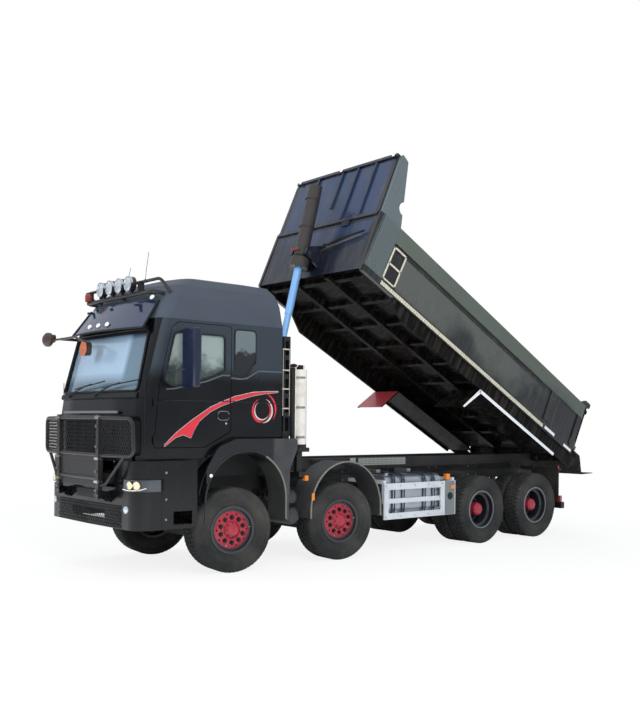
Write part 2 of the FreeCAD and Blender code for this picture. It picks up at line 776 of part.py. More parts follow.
def bumper_and_steps():
    half = size.bumper_half_width
    front = size.axle_one_y - size.bumper_front
    rear = size.axle_one_y - size.step_rear
    wall = size.bumper_wall
    shell = corner_shell(half, front, rear, wall, size.bumper_bottom,
                         size.bumper_top - size.bumper_bottom, 210)
    tools = []
    # radiator opening behind the bull bar, lamp recesses and the lower air slot
    tools.append(box(1500, 200, 340, (-750, front - 60, 1110)))
    tools.append(box(900, 200, 110, (-450, front - 60, 720)))
    lamp = box(330, 420, 150, (half - 330, front - 40, 1075))
    tools.append(both_sides(lamp))
    # step wells let into each side
    well = box(wall + 20, 260, 165, (half - wall - 10, rear - 330, 665))
    tools.append(both_sides(well))
    shell = cut(shell, *tools)
    pieces = [shell]
    # treads, toe boards and the side's inner wall
    depth = 250
    tread = box(depth, 330, 35, (half - depth, rear - 365, 630))
    upper = box(depth, 330, 30, (half - depth, rear - 365, 1000))
    inner = box(20, 365, 700, (half - depth - 20, rear - 365, 630))
    rear_wall = box(depth, 20, 760, (half - depth, rear - 20, 630))
    ahead_wall = box(depth, 20, 760, (half - depth, rear - 365, 630))
    pieces.append(both_sides(join(tread, upper, inner, rear_wall, ahead_wall)))
    # beam across the front and the arms that carry it on the rails
    beam_y = front + wall
    pieces.append(box(2 * half - 300, 30, 135, (150 - half, beam_y, 900)))
    arm = box(60, size.bumper_front - size.frame_nose - wall - 60, 100,
              (size.rail_outer - 80, beam_y, rail_mid() - 90))
    pieces.append(both_sides(arm))
    bracket = box(size.bumper_half_width - size.rail_outer - depth - 10, 60, 60,
                  (size.rail_outer, rear - 330, 1080))
    pieces.append(both_sides(bracket))
    return join(*pieces, bar_brackets())


def rail_mid():
    return size.rail_bottom + size.rail_depth / 2


def head_lamps():
    """Wedge lamps let into the bumper's corners, lens outward."""
    half = size.bumper_half_width
    front = size.axle_one_y - size.bumper_front
    corners = [(half - 318, front + 26), (half - 120, front + 52, 60), (half - 24, front + 190, 60),
               (half - 12, front + 360), (half - 90, front + 360), (half - 150, front + 150, 40),
               (half - 318, front + 90)]
    lamp = prism("XY", corners, 1075, 142)
    return both_sides(lamp)


def tail_lamps():
    lamp = box(330, 60, 110, (840, frame_of(HINGE_ALONG - 190), 550))
    return both_sides(lamp)


def fuel_tank():
    """A rounded aluminium tank on two brackets, with straps round it."""
    start = frame_of(2640)
    length = size.axle_three_along - size.tyre_radius - size.tank_clearance - 2640
    right, left, low, high = 700, 1170, 560, 1150
    shell = prism("XZ", [(right, low, 90), (left, low, 130), (left, high, 130),
                         (right, high, 90)], start, length)
    straps = []
    brackets = []
    for share in (0.137, 0.308, 0.692, 0.863):
        along = length * share
        ring = prism("XZ", [(right - 8, low - 8, 98), (left + 8, low - 8, 138),
                            (left + 8, high + 8, 138), (right - 8, high + 8, 98)],
                     start + along - 30, 60)
        straps.append(ring)
    for share in (0.222, 0.778):
        along = length * share
        brackets.append(box(right + 30 - size.rail_outer, 80, 200,
                            (size.rail_outer, start + along - 40, 1010)))
        brackets.append(box(right - 560, 80, 70, (560, start + along - 40, 1000)))
    neck = rod(45, 40, (left - 130, start + 120, high - 10), "Z")
    return join(shell, neck, *straps, *brackets)


def battery_box():
    """Battery and air-cleaner boxes on the truck's right side."""
    start = frame_of(2640)
    length = size.axle_three_along - size.tyre_radius - size.battery_clearance - 2640
    crate = prism("XZ", [(-1170, 580, 40), (-720, 580, 40), (-720, 1120, 40),
                         (-1170, 1120, 40)], start, length * 0.517)
    tank = prism("XZ", [(-1170, 600, 70), (-720, 600, 70), (-720, 1120, 70),
                        (-1170, 1120, 70)], start + length * 0.567, length * 0.433)
    arms = [box(740 - size.rail_outer, 70, 140, (-740, start + length * share, 1000))
            for share in (0.1, 0.358, 0.633, 0.9)]
    return join(crate, tank, *arms)


def air_tanks():
    """Brake-air reservoirs between the steered axles, on plates from the rail."""
    y = frame_of(985)
    pieces = []
    for z, radius, left in ((655, 118, 1120), (905, 100, 1090)):
        body = rod(radius, left - 560, (560, y, z), "X")
        edge = fresh("Part::Fillet", "Dished")
        doc.recompute()
        edge.Base = body
        rims = [index + 1 for index, item in enumerate(body.Shape.Edges)
                if item.Curve.TypeId == "Part::GeomCircle"]
        edge.Edges = [(index, radius * 0.45, radius * 0.45) for index in rims]
        pieces.append(edge)
    plate = box(30, 150, 620, (600, y - 75, 560))
    arm = box(600 - size.rail_outer, 90, 120, (size.rail_outer, y - 45, 1010))
    return both_sides(join(plate, arm, *pieces))


def exhaust_stack():
    """A vertical pipe with a cap beside a larger silencer in its heat shield."""
    x = 1135
    shield = rod(82, 1050, (x, frame_of(1062), 1575), "Z")
    foot = prism("XY", [(x - 100, frame_of(962), 20), (x + 90, frame_of(962), 20),
                        (x + 90, frame_of(1160), 20), (x - 100, frame_of(1160), 20)], 1520, 56)
    outlet = rod(52, 60, (x, frame_of(1062), 2624), "Z")
    pipe = rod(36, 1125, (x - 10, frame_of(950), 1530), "Z")
    cap = cone(36, 58, 22, (x - 10, frame_of(958), 2655), "Z")
    crown = cone(58, 18, 22, (x - 10, frame_of(958), 2677), "Z")
    carrier = box(x + 60 - size.rail_outer, 90, 70,
                  (size.rail_outer, frame_of(1000), 1180))
    riser = box(70, 90, 340, (x - 60, frame_of(1000), 1180))
    tie = box(100, 130, 50, (x - 70, frame_of(925), 1530))
    return join(shield, foot, outlet, pipe, cap, crown, carrier, riser, tie)


def air_intake():
    """A tall grille box behind the cab's left corner."""
    start = frame_of(785)
    right = size.cab_half_width - 270
    duct = box(270, 110, 1330, (right, start, 1730))
    slots = [box(120, 60, 190, (right + 200, start + 26, 1790 + step * 255))
             for step in range(5)]
    foot = box(60, 80, 480, (right + 50, start + 10, 1255))
    shelf = box(right + 100 - size.rail_outer, 80, 60, (size.rail_outer, start + 10, 1195))
    return join(cut(duct, *slots), foot, shelf)


def arch_ring(middle_y, middle_z, radius, wall, start_x, width, low_front, low_rear):
    """A mudguard: a half ring that runs straight down at both ends."""
    outer = radius + wall
    disc = rod(outer, width, (start_x, middle_y, middle_z), "X")
    front_leg = box(width, outer, middle_z - low_front,
                    (start_x, middle_y - outer, low_front))
    rear_leg = box(width, outer, middle_z - low_rear, (start_x, middle_y, low_rear))
    lower = box(width + 20, 2 * outer + 20, outer + 20,
                (start_x - 10, middle_y - outer - 10, middle_z - outer - 20))
    upper = cut(disc, lower)
    inside = join(rod(radius, width + 20, (start_x - 10, middle_y, middle_z), "X"),
                  box(width + 20, 2 * radius, middle_z, (start_x - 10, middle_y - radius, 0)))
    return cut(join(upper, front_leg, rear_leg), inside)


def mudguards():
    """The cab's wheel-arch fenders and the second axle's mudguards."""
    along, height, radius = 149, 915, 617
    y = frame_of(along)
    face = [(frame_of(-470), 1150), (frame_of(-470), 1330, 60), (frame_of(-300), 1600, 200),
            (frame_of(-30), 1700, 120), (frame_of(951), 1700, 40), (frame_of(951), 1560, 60),
            (frame_of(830), 1300, 200), (frame_of(812), 620), (y, 620)]
    panel = prism("YZ", face, 1190, 30)
    liner = join(rod(radius + 14, 400, (820, y, height), "X"),
                 box(400, radius + 14, height - 620, (820, y, 620)))
    opening = join(rod(radius, 500, (780, y, height), "X"),
                   box(500, radius, height, (780, y, 0)))
    below = box(520, 2 * radius, height, (770, y - 2 * radius, 0))
    trimmed = cut(join(liner, panel), opening, below)
    stay = box(820 - size.rail_outer + 30, 60, 60, (size.rail_outer, frame_of(700), 1195))
    second = arch_ring(frame_of(1840), 728, 636, 14, 800, 435, 612, 585)
    second_stay = box(400, 60, 50, (size.rail_outer, frame_of(1810), 1320))
    return both_sides(join(trimmed, stay, second, second_stay))


def side_guards():
    """Closed guard panels between the second and third axles."""
    pieces = []
    face_x = 1205
    whole = size.axle_three_along - size.tyre_radius - size.guard_clearance - 2555
    for start, length in ((0, whole * 0.843), (whole * 0.848, whole * 0.152)):
        panel = box(25, length, 525, (face_x, frame_of(2555 + start), 510))
        if number(length) > 600:
            window = box(60, length - 180, 340, (face_x - 10, frame_of(2555 + start + 90), 600))
            panel = cut(panel, window)
        pieces.append(panel)
    tie = box(25, whole, 70, (face_x - 25, frame_of(2555), 740))
    pieces.append(tie)
    for along in (5, whole - 55):
        pieces.append(box(face_x - size.rail_outer, 50, 50,
                          (size.rail_outer, frame_of(2555 + along), 1030)))
        pieces.append(box(40, 50, 320, (face_x - 40, frame_of(2555 + along), 760)))
    left = join(*pieces)
    return both_sides(left)


def rear_underride():
    """Bar, hangers and mud flaps behind the last axle."""
    y = HINGE_Y - 200
    bar = box(2 * 1205, 90, 110, (-1205, y, 440))
    hang = box(70, 90, size.rail_bottom - 500, (size.rail_outer - 80, y, 500))
    flap = box(600, 12, 560, (640, HINGE_Y - 335, 590))
    stay = box(600, 60, 40, (640, HINGE_Y - 323, 1110))
    arm = box(660 - size.rail_outer, 50, 60, (size.rail_outer, HINGE_Y - 318, 1100))
    return join(bar, both_sides(join(hang)), both_sides(join(flap, stay, arm)))


# ---------------------------------------------------------------- cab

# height, inset of the side, of the face and of the back from the full cab, share of the wall
# by which the inner skin is lower here
CAB_SECTIONS = [
    (size.cab_floor_front, 0, 0, 0, -1),
    (1980, 0, 0, 0, 0),
    (2220, 0, 35, 0, 0),
    (3060, 0, 245, 0, 0),
    (size.roof_seam, 2, 275, 0, 0),
    (size.roof_top - 305, 68, 430, 8, 0.5),
    (size.roof_top - 155, 135, 540, 40, 0.8),
    (size.roof_top - 55, 230, 720, 100, 1),
    (size.roof_top, 480, 940, 300, 1),
]


def cab_form(inset):
    """The cab's outer form, or a skin that lies inside it by the inset."""
    sections = []
    for height, side_in, face_in, back_in, lower in CAB_SECTIONS:
        half = size.cab_half_width - side_in - inset
        front = size.axle_one_y - size.cab_front + face_in + inset
        rear = frame_of(size.cab_rear - back_in - inset)
        level = height - inset * lower
        corner = 150 - number(inset)
        outline_points = [
            (-half, rear, 40), (-half, front + size.front_bulge, corner),
            (half * -0.55, front, 1200), (half * 0.55, front, 1200),
            (half, front + size.front_bulge, corner), (half, rear, 40),
        ]
        sections.append(draw("XY", outline_points, (0, 0, level), "Section"))
    loft = fresh("Part::Loft", "Form")
    loft.Sections = sections
    loft.Solid = True
    loft.Ruled = True
    return loft


def wheel_relief(rise):
    """What is cut from under the cab to clear the wheels and the arches."""
    low = size.cab_floor_front - 80
    return prism("YZ", [
        (frame_of(-400) - rise, low), (frame_of(-400) - rise, 1500 + rise),
        (frame_of(-160) - rise, size.cab_floor_rear - 55 + rise),
        (frame_of(-60) - rise, size.cab_floor_rear + rise),
        (frame_of(1000), size.cab_floor_rear + rise),
        (frame_of(1000), low),
    ], -1300, 2600)


def door_outline(gap):
    """A door's edge, drawn smaller by the gap."""
    front = size.axle_one_y - size.door_front + gap
    rear = size.axle_one_y - size.door_rear - gap
    low = size.door_bottom + gap
    high = size.door_top - gap
    return [
        (front, low, 30), (front + 72, 2350, 200), (front + 240, 3060, 80),
        (front + 330, high, 60), (rear, high, 40), (rear, 1785 + gap, 60),
        (rear - 390, low, 60),
    ]


DOOR_WINDOW = [
    (frame_of(-870), 2335, 60), (frame_of(-1010), 2400, 60), (frame_of(-860), 3000, 60),
    (frame_of(-139), 3000, 50), (frame_of(-139), 2545, 50), (frame_of(-420), 2440, 300),
]
QUARTER_WINDOW = [
    (frame_of(20), 3046, 30), (frame_of(330), 3046, 50), (frame_of(330), 2640, 60),
    (frame_of(20), 2610, 30),
]
WINDSCREEN = [
    (-1010, 2275, 60), (1010, 2275, 60), (955, 3030, 60), (-955, 3030, 60),
]
GRILLE_OPENING = [(-770, 1500, 40), (770, 1500, 40), (770, 1945, 40), (-770, 1945, 40)]
FACE_START = size.axle_one_y - size.cab_front - 200


def glass_skin():
    """A thin skin inside the cab's form, from which each pane is cut."""
    depth = 24
    return cut(cab_form(depth), cab_form(size.glass_thickness + depth))


def build_cab():
    outer = cab_form(0)
    wall = size.cab_wall
    inner = cut(cab_form(wall), wheel_relief(wall))
    skin = cut(outer, inner, wheel_relief(0))
    low_half = box(2600, 3200, size.roof_seam, (-1300, size.axle_one_y - 1800, 0))
    high_half = box(2600, 3200, 900, (-1300, size.axle_one_y - 1800, size.roof_seam))
    reach = 200
    start = size.cab_half_width - size.cab_wall
    door_hole = prism("YZ", door_outline(0), start, reach)
    quarter = prism("YZ", QUARTER_WINDOW, start, reach)
    screen = prism("XZ", WINDSCREEN, FACE_START, 560)
    grille_hole = prism("XZ", GRILLE_OPENING, FACE_START, 300)
    openings = [both_sides(door_hole), both_sides(quarter), screen, grille_hole]
    keep("cab_shell", cut(common(skin, low_half), *openings))
    keep("cab_roof", common(skin, high_half))

    panes = glass_skin()
    glass = common(panes, join(screen, both_sides(quarter)))
    keep("cab_glass", glass)

    door_body = prism("YZ", door_outline(size.door_gap), start, reach)
    window = prism("YZ", DOOR_WINDOW, start, reach)
    door = cut(common(skin, door_body), window)
    pane = common(panes, window)
    handle = box(26, 190, 34, (size.cab_half_width, frame_of(-250), 1972))
    arm_top = box(230, 30, 26, (size.cab_half_width - 4, frame_of(-800), 3004))
    arm_low = bent_tube([(size.cab_half_width - 12, frame_of(-1012), 2520),
                         (size.cab_half_width + 100, frame_of(-930), 2520),
                         (size.cab_half_width + 210, frame_of(-790), 2545)], 12, 60)
    head = prism("XZ", [(1275, 2504, 30), (1500, 2504, 50), (1500, 3018, 70), (1275, 3018, 30)],
                 frame_of(-825), 85)
    # two hinges, each a barrel on a strap that reaches over the cab's edge
    hinges = []
    hinge_y = size.axle_one_y - size.door_front
    for low in (1640, 2090):
        hinges.append(rod(11, 90, (size.cab_half_width + size.door_hinge_out, hinge_y, low), "Z"))
        hinges.append(box(9, 112, 50, (size.cab_half_width + 3, hinge_y, low + 20)))
        hinges.append(box(14, 34, 50, (size.cab_half_width - 2, hinge_y + 78, low + 20)))
    full_door = join(door, handle, arm_top, arm_low, head, *hinges)
    keep("door_left", full_door)
    keep("door_right", mirrored(full_door))
    keep("door_glass_left", pane)
    keep("door_glass_right", mirrored(pane))
    return outer


def front_grille():
    """Slatted radiator grille with a bright strip along its top."""
    y = size.axle_one_y - size.cab_front
    frame = prism("XZ", GRILLE_OPENING, y + 22, 60)
    hole = prism("XZ", [(-735, 1535, 30), (735, 1535, 30), (735, 1910, 30), (-735, 1910, 30)],
                 y, 120)
    rim = cut(frame, hole)
    slats = []
    for index in range(7):
        slats.append(box(1480, 46, 12, (-740, y + 30, 1570 + index * 50)))
    ribs = [box(14, 40, 385, (x - 7, y + 34, 1530)) for x in (-490, -245, 0, 245, 490)]
    backing = box(1500, 12, 400, (-750, y + 76, 1520))
    strip = prism("XY", [(-750, y - 4), (-606, y - 26), (606, y - 26), (750, y - 4),
                         (750, y + 21), (606, y - 0.3), (-606, y - 0.3), (-750, y + 21)], 1953, 26)
    return join(rim, backing, strip, *slats, *ribs)


def sun_visor(cab):
    """A curved tinted visor over the windscreen, on three stays."""
    radius = 3600
    y = size.axle_one_y - size.cab_front
    section = draw("YZ", [
        (y + 62, 3046), (y + 70, 3040), (y + 330, 3395), (y + 318, 3400),
    ], (0, 0, 0), "Visor_section")
    sheet_piece = fresh("Part::Revolution", "Visor")
    sheet_piece.Source = section
    sheet_piece.Axis = Vector(0, 0, 1)
    sheet_piece.Base = Vector(0, number(y) + radius, 0)
    sheet_piece.Angle = 32
    sheet_piece.Symmetric = True
    sheet_piece.Solid = True
    stays = [box(34, 340, 26, (x - 17, y + 255, 3330)) for x in (-640, 0, 640)]
    return cut(join(sheet_piece, *stays), cab)


def bent_tube(points, radius, bend):
    """A round tube through points, with each corner bent to a radius."""
    line = [Vector(*[number(value) for value in point]) for point in points]
    edges = []
    at = line[0]
    for index in range(1, len(line) - 1):
        corner = line[index]
        back = (line[index - 1] - corner).normalize()
        ahead = (line[index + 1] - corner).normalize()
        half = back.getAngle(ahead) / 2
        reach = bend / math.tan(half)
        enter = corner + back * reach
        leave = corner + ahead * reach
        centre = corner + (back + ahead).normalize() * (bend / math.sin(half))
        middle = centre + (corner - centre).normalize() * bend
        edges.append(Part.LineSegment(at, enter).toShape())
        edges.append(Part.Arc(enter, middle, leave).toShape())
        at = leave
    edges.append(Part.LineSegment(at, line[-1]).toShape())
    path = Part.Wire(edges)
    start_way = (line[1] - line[0]).normalize()
    ring = Part.Wire([Part.Circle(line[0], start_way, number(radius)).toShape()])
    tube = fresh("Part::Feature", "Tube")
    tube.Shape = path.makePipeShell([ring], True, False)
    return tube


LAMP_PLACES = [-375, -125, 125, 375]


def roof_light_bar(cab):
    """Two tubes across the roof's front with round lamps and a beacon."""
    y = size.axle_one_y - 1060
    low, high = 3500, 3655
    lower = bent_tube([(-900, y + 150, low - 10), (-900, y, low), (900, y, low),
                       (900, y + 150, low - 10)], 26, 80)
    upper = bent_tube([(-975, y + 200, low), (-975, y + 60, high), (975, y + 60, high),
                       (975, y + 200, low)], 20, 60)
    pieces = [lower, upper]
    for x in (-520, 520):
        pieces.append(box(30, 80, 150, (x - 15, y + 5, low + 5)))
    for x in LAMP_PLACES:
        pieces.append(rod(94, 60, (x, y - 45, 3634), "Y"))
        pieces.append(box(30, 30, 70, (x - 15, y - 15, low + 15)))
    pieces.append(rod(52, 120, (-800, y, low + 18), "Z"))
    for x in (-700, 0, 700):
        pieces.append(box(50, 190, 30, (x - 25, y + 10, low - 15)))
    return cut(join(*pieces), cab)


def front_mirrors(cab):
    """Kerb and front mirrors on one arm at the right-hand top corner."""
    y = size.axle_one_y
    root = cut(rod(20, 280, (-1000, y - 1370, 3008), "Y"), cab)
    arm = bent_tube([(-1390, y - 1370, 3012), (-1000, y - 1370, 3008), (-560, y - 1378, 3010),
                     (-240, y - 1385, 2915)], 15, 90)
    kerb = prism("XZ", [(-1495, 2955, 40), (-1250, 2985, 40), (-1225, 3085, 40),
                        (-1360, 3090, 60)], y - 1400, 60)
    front = prism("XZ", [(-320, 2745, 50), (-130, 2745, 50), (-110, 2905, 50),
                         (-280, 2935, 50)], y - 1415, 60)
    return join(root, arm, kerb, front)


def cab_interior():
    """Dashboard, seats, engine tunnel and steering wheel seen through the glass."""
    y = size.axle_one_y
    floor = size.cab_floor_front + size.cab_wall
    dash = prism("YZ", [(y - 1210, floor + 5), (y - 1235, 2130, 60), (y - 1120, 2225, 60),
                        (y - 900, 2180, 60), (y - 930, 1900, 40), (y - 1120, floor + 5)],
                 -940, 1880)
    tunnel = cut(box(760, 1560, 330, (-380, y - 960, size.cab_floor_rear + size.cab_wall)), dash)
    seats = []
    for x in (620, -620):
        base = box(440, 460, 330, (x - 220, y - 440, size.cab_floor_rear + size.cab_wall))
        cushion = prism("YZ", [(y - 560, 2110, 40), (y - 50, 2110), (y - 50, 2230, 60),
                               (y - 560, 2250, 60)], x - 240, 480)
        back = prism("YZ", [(y - 50, 2110), (y + 60, 2110, 40), (y + 220, 2860),
                            (y + 90, 2860)], x - 240, 480)
        rest = prism("YZ", [(y + 110, 2860), (y + 200, 2860), (y + 235, 3030, 40),
                            (y + 130, 3030, 40)], x - 140, 280)
        seats += [base, cushion, back, rest]
    column = bent_tube([(620, y - 1000, 2050), (620, y - 820, 2260)], 28, 10)
    wheel = fresh("Part::Torus", "Steering_wheel")
    wheel.Radius1 = 215
    wheel.Radius2 = 16
    way = Vector(0, 180, 210).normalize()
    place(wheel, (620, y - 822, 2258), Rotation(Vector(0, 0, 1), way))
    spoke = box(410, 40, 12, (415, y - 842, 2252))
    steering = cut(join(column, wheel, spoke), dash)
    return bolted(dash, tunnel, steering, *seats)


# ---------------------------------------------------------------- bull bar

def bull_bar():
    """Two uprights, cross tubes, a lamp guard each side and perforated panels."""
    y = size.axle_one_y - size.bar_front
    post_low = size.bar_pivot_height - 60
    post = box(70, 60, size.bar_top - post_low, (size.post_x - 35, y - 30, post_low))
    pieces = [both_sides(post)]
    for height in (size.bar_top - 40, 1500, 1215):
        pieces.append(rod(size.bar_tube - 4, 2 * size.post_x, (-size.post_x, y, height), "X"))
    guard = bent_tube([
        (size.post_x, y, 1945), (size.bar_half_width - 40, y + 100, 1940),
        (size.bar_half_width - 20, y + 110, 1500), (size.post_x, y, 1495),
    ], 24, 90)
    brace = bent_tube([(size.bar_half_width - 190, y + 78, 1497), (size.post_x + 120, y + 30, 1150),
                       (size.post_x, y, 1120)], 20, 60)
    pieces.append(both_sides(join(guard, brace)))
    panel = box(2 * size.post_x, 6, 390, (-size.post_x, y - 3, size.bar_pivot_height + 80))
    pieces.append(panel)
    # pivot bosses at the foot of each upright
    boss = rod(38, 70, (size.post_x - 35, y, size.bar_pivot_height), "X")
    pin_hole = rod(15 + size.running_gap, 200,
                   (size.post_x - 100, y, size.bar_pivot_height), "X")
    return cut(join(*pieces, both_sides(boss)), both_sides(pin_hole))


def bar_brackets():
    """Forks on the bumper's beam that hold the bull bar's pivot pins."""
    y = size.axle_one_y - size.bar_front
    root = size.axle_one_y - size.bumper_front + size.bumper_wall
    low = size.bar_pivot_height - 38
    high = size.bar_pivot_height + 38
    cheeks = [
        prism("YZ", [(y - 38, low, 30), (y + 34, low), (root, 905), (root, 1045), (y + 34, high),
                     (y - 38, high, 30)], x, 14)
        for x in (size.post_x - 35 - 20, size.post_x + 35 + 6)
    ]
    pin_bar = rod(15, 116, (size.post_x - 58, y, size.bar_pivot_height), "X")
    return both_sides(join(pin_bar, *cheeks))


# ---------------------------------------------------------------- bed

# The bed is drawn lowered, with its hinge on the sketch's origin, and then turned up.
BED_TURN = Rotation(Vector(-1, 0, 0), number(size.bed_tilt))
BED_PLACE = Placement(Vector(0, number(HINGE_Y), number(size.hinge_height)), BED_TURN)


def raise_bed(piece):
    """Turn a finished piece of the bed up about the hinge."""
    holder = fresh("Part::Compound", "Raised")
    holder.Links = [piece]
    holder.Placement = BED_PLACE
    return holder


BED_FRONT = -size.bed_length
FLOOR_TOP = size.bed_floor_bottom + size.bed_floor_thickness
BED_REAR = 20


def bed_floor():
    """Floor plate on two long beams and cross-members, with hinge lugs and side sills."""
    half = size.bed_half_width - 65
    plate = box(2 * half, size.bed_length + BED_REAR, size.bed_floor_thickness,
                (-half, BED_FRONT, size.bed_floor_bottom))
    beam_height = size.bed_floor_bottom - size.beam_bottom
    beam = box(size.subframe_width, size.bed_length - 120, beam_height,
               (size.rail_outer - size.subframe_width, BED_FRONT + 60, size.beam_bottom))
    pieces = [plate, both_sides(beam)]
    spacing = 600
    for index in range(9):
        at = BED_FRONT + 180 + index * spacing
        pieces.append(box(2 * half, 70, 80, (-half, at, size.bed_floor_bottom - 80)))
    # sills under both sides
    sill = prism("YZ", [
        (BED_FRONT + 720, size.strip_bottom), (190, size.strip_bottom), (190, -20),
        (60, size.sill_bottom), (BED_FRONT + 1050, size.sill_bottom)], half - 10, 40)
    web = box(30, size.bed_length - 50, size.bed_floor_bottom - size.strip_bottom + 2,
              (half - 30, BED_FRONT + 30, size.strip_bottom - 2))
    pieces.append(both_sides(join(sill, web)))
    # hinge lugs
    lug_x = size.rail_outer + 20
    lug = join(
        rod(size.hinge_lug_radius, 50, (lug_x, 0, 0), "X"),
        prism("YZ", [(-200, size.bed_floor_bottom), (-70, -30), (70, -30),
                     (-10, size.bed_floor_bottom)], lug_x, 50))
    bore = rod(size.hinge_radius + size.running_gap, 90, (lug_x - 20, 0, 0), "X")
    return cut(join(*pieces, both_sides(lug)), both_sides(bore))


def bed_side():
    """A plain side wall with a box rail, a ledge, a front post and a rear post."""
    inner = size.bed_half_width - 65
    wall = box(size.bed_wall, size.bed_length - 60, size.bed_side_top - size.strip_bottom,
               (inner, BED_FRONT + 20, size.strip_bottom))
    rail = box(65, size.bed_length - 420, size.rail_box_height,
               (inner, BED_FRONT + 380, size.bed_side_top - size.rail_box_height))
    ledge = box(65, size.bed_length - 250, size.strip_height,
                (inner, BED_FRONT + 60, size.strip_bottom))
    front_post = box(62, 360, size.bed_side_top - size.strip_bottom,
                     (inner, BED_FRONT + 20, size.strip_bottom))
    rear_post = box(60, 150, size.bed_side_top - size.strip_bottom - 200,
                    (inner, -1040, size.strip_bottom + 180))
    end_post = box(65, 130, size.bed_side_top - size.strip_bottom,
                   (inner, -170, size.strip_bottom))
    # three rungs let into a frame near the front
    ladder = cut(box(56, 290, 560, (inner, BED_FRONT + 400, size.strip_bottom + 120)),
                 box(30, 210, 200, (inner + 45, BED_FRONT + 440, size.strip_bottom + 170)),
                 box(30, 210, 200, (inner + 45, BED_FRONT + 440, size.strip_bottom + 430)))
    # headboard's side plate, which stands above the wall, with a round notch
    lean = size.headboard_lean
    wing = prism("YZ", [
        (BED_FRONT + 18 - 75, size.bed_side_top), (BED_FRONT - lean + 18, size.headboard_top - 10),
        (BED_FRONT - lean + 30, size.headboard_top + 60, 30),
        (BED_FRONT - lean + 175, size.headboard_top + 24, 30),
        (BED_FRONT + 200, 1549), (BED_FRONT + 375, size.bed_side_top)], inner, 50)
    notch = rod(100, 80, (inner - 10, BED_FRONT + 290, 1360), "X")
    return join(wall, rail, ledge, front_post, rear_post, end_post, ladder, cut(wing, notch))


def bed_front_wall():
    """Leaning headboard with ribs, and the bracket that holds the ram's trunnions."""
    half = size.bed_half_width - 65 - 0.3
    low = size.strip_bottom + 20
    rise = size.headboard_top - low
    lean = size.headboard_lean
    top = size.headboard_top
    thick = 45
    plate = prism("YZ", [
        (BED_FRONT, low), (BED_FRONT - lean, top), (BED_FRONT - lean + thick, top),
        (BED_FRONT + thick, low)], -half, 2 * half)
    # the plate stands on the floor's front edge
    over_floor = box(2 * half + 10, 400, FLOOR_TOP, (-half - 5, BED_FRONT - 0.3, 0))
    plate = cut(plate, over_floor)
    pieces = [plate]
    for x, bottom in ((-620, 1050), (-30, 1330), (330, 1050), (730, 1050)):
        back = BED_FRONT - lean * ((bottom - low) / rise) + 8
        pieces.append(prism("YZ", [
            (back, bottom), (BED_FRONT - lean + 8, top - 10), (BED_FRONT - lean - 28, top - 10),
            (back - 36, bottom)], x, 40))
    cap = box(2 * half, 90, 50, (-half, BED_FRONT - lean - 30, top))
    brace = box(2 * half, 30, 60, (-half, BED_FRONT - lean * 0.5 - 24, 1010))
    pieces.append(cap)
    pieces.append(brace)
    # trunnion ears
    trunnion = trunnion_in_bed()
    ear_x = size.collar_radius + 10
    ear = prism("YZ", [
        (trunnion.y - 60, trunnion.z - 60, 40), (trunnion.y + 60, trunnion.z - 60, 20),
        (BED_FRONT + 20, FLOOR_TOP + 10), (BED_FRONT - 10, trunnion.z + 300),
        (trunnion.y - 60, trunnion.z + 70, 40)], ear_x, 40)
    bore = rod(size.trunnion_radius + size.running_gap, 80,
               (ear_x - 20, trunnion.y, trunnion.z), "X")
    wall_space = prism("YZ", [
        (BED_FRONT, low), (BED_FRONT - lean, top), (BED_FRONT - lean + 600, top),
        (BED_FRONT + 600, low)], 0, 400)
    ear = cut(ear, bore, wall_space)
    pieces.append(both_sides(ear))
    return join(*pieces)


def bed_fenders():
    """Flat mudguards under the bed, with a flap that slants down ahead of the wheels."""
    top = size.sill_bottom - 0.3
    start = BED_FRONT + 3066
    band = prism("YZ", [
        (start, top), (-468, top), (-468, top - 14), (start + 6, top - 14),
        (start - 224, top - 440), (start - 240, top - 440)], 620, 610)
    lip = prism("YZ", [
        (start, top), (-468, top), (-468, top - 50), (start + 26, top - 50),
        (start - 205, top - 440), (start - 240, top - 440)], 1226, 14)
    return both_sides(join(band, lip))


def tailgate():
    """Top-hung gate with two arms, ribs and a stiff lower edge."""
    half = size.bed_half_width - 65 - 12
    rear = 62
    plate = box(2 * half, size.gate_thickness - 20, 800, (-half, rear, size.gate_bottom))
    pieces = [plate]
    for x in (-900, -450, 0, 450, 900):
        pieces.append(box(70, 30, 800, (x - 35, rear + 40, size.gate_bottom)))
    pieces.append(box(2 * half, 60, 70, (-half, rear + 20, size.gate_bottom)))
    pieces.append(box(2 * half, 60, 70, (-half, rear + 20, size.gate_bottom + 730)))
    arm = box(40, 70, 160, (half - 60, rear, size.gate_bottom + 700))
    eye = rod(38, 40, (half - 60, size.gate_hinge_rear, size.gate_hinge_height), "X")
    hole = rod(18 + size.running_gap, 80,
               (half - 80, size.gate_hinge_rear, size.gate_hinge_height), "X")
    arms = both_sides(cut(join(arm, eye), hole))
    return join(*pieces, arms)


def gate_bracket():
    """An ear on the top rail's end with the tailgate's pin."""
    half = size.bed_half_width - 65
    ear = prism("YZ", [
        (-200, size.bed_side_top), (-60, size.gate_hinge_height + 45),
        (size.gate_hinge_rear + 42, size.gate_hinge_height + 45, 30),
        (size.gate_hinge_rear + 42, size.gate_hinge_height - 40, 30), (-40, size.bed_side_top - 40),
        (-40, size.bed_side_top)], half, 50)
    pin_bar = rod(18, 130, (half - 80, size.gate_hinge_rear, size.gate_hinge_height), "X")
    return join(ear, pin_bar)


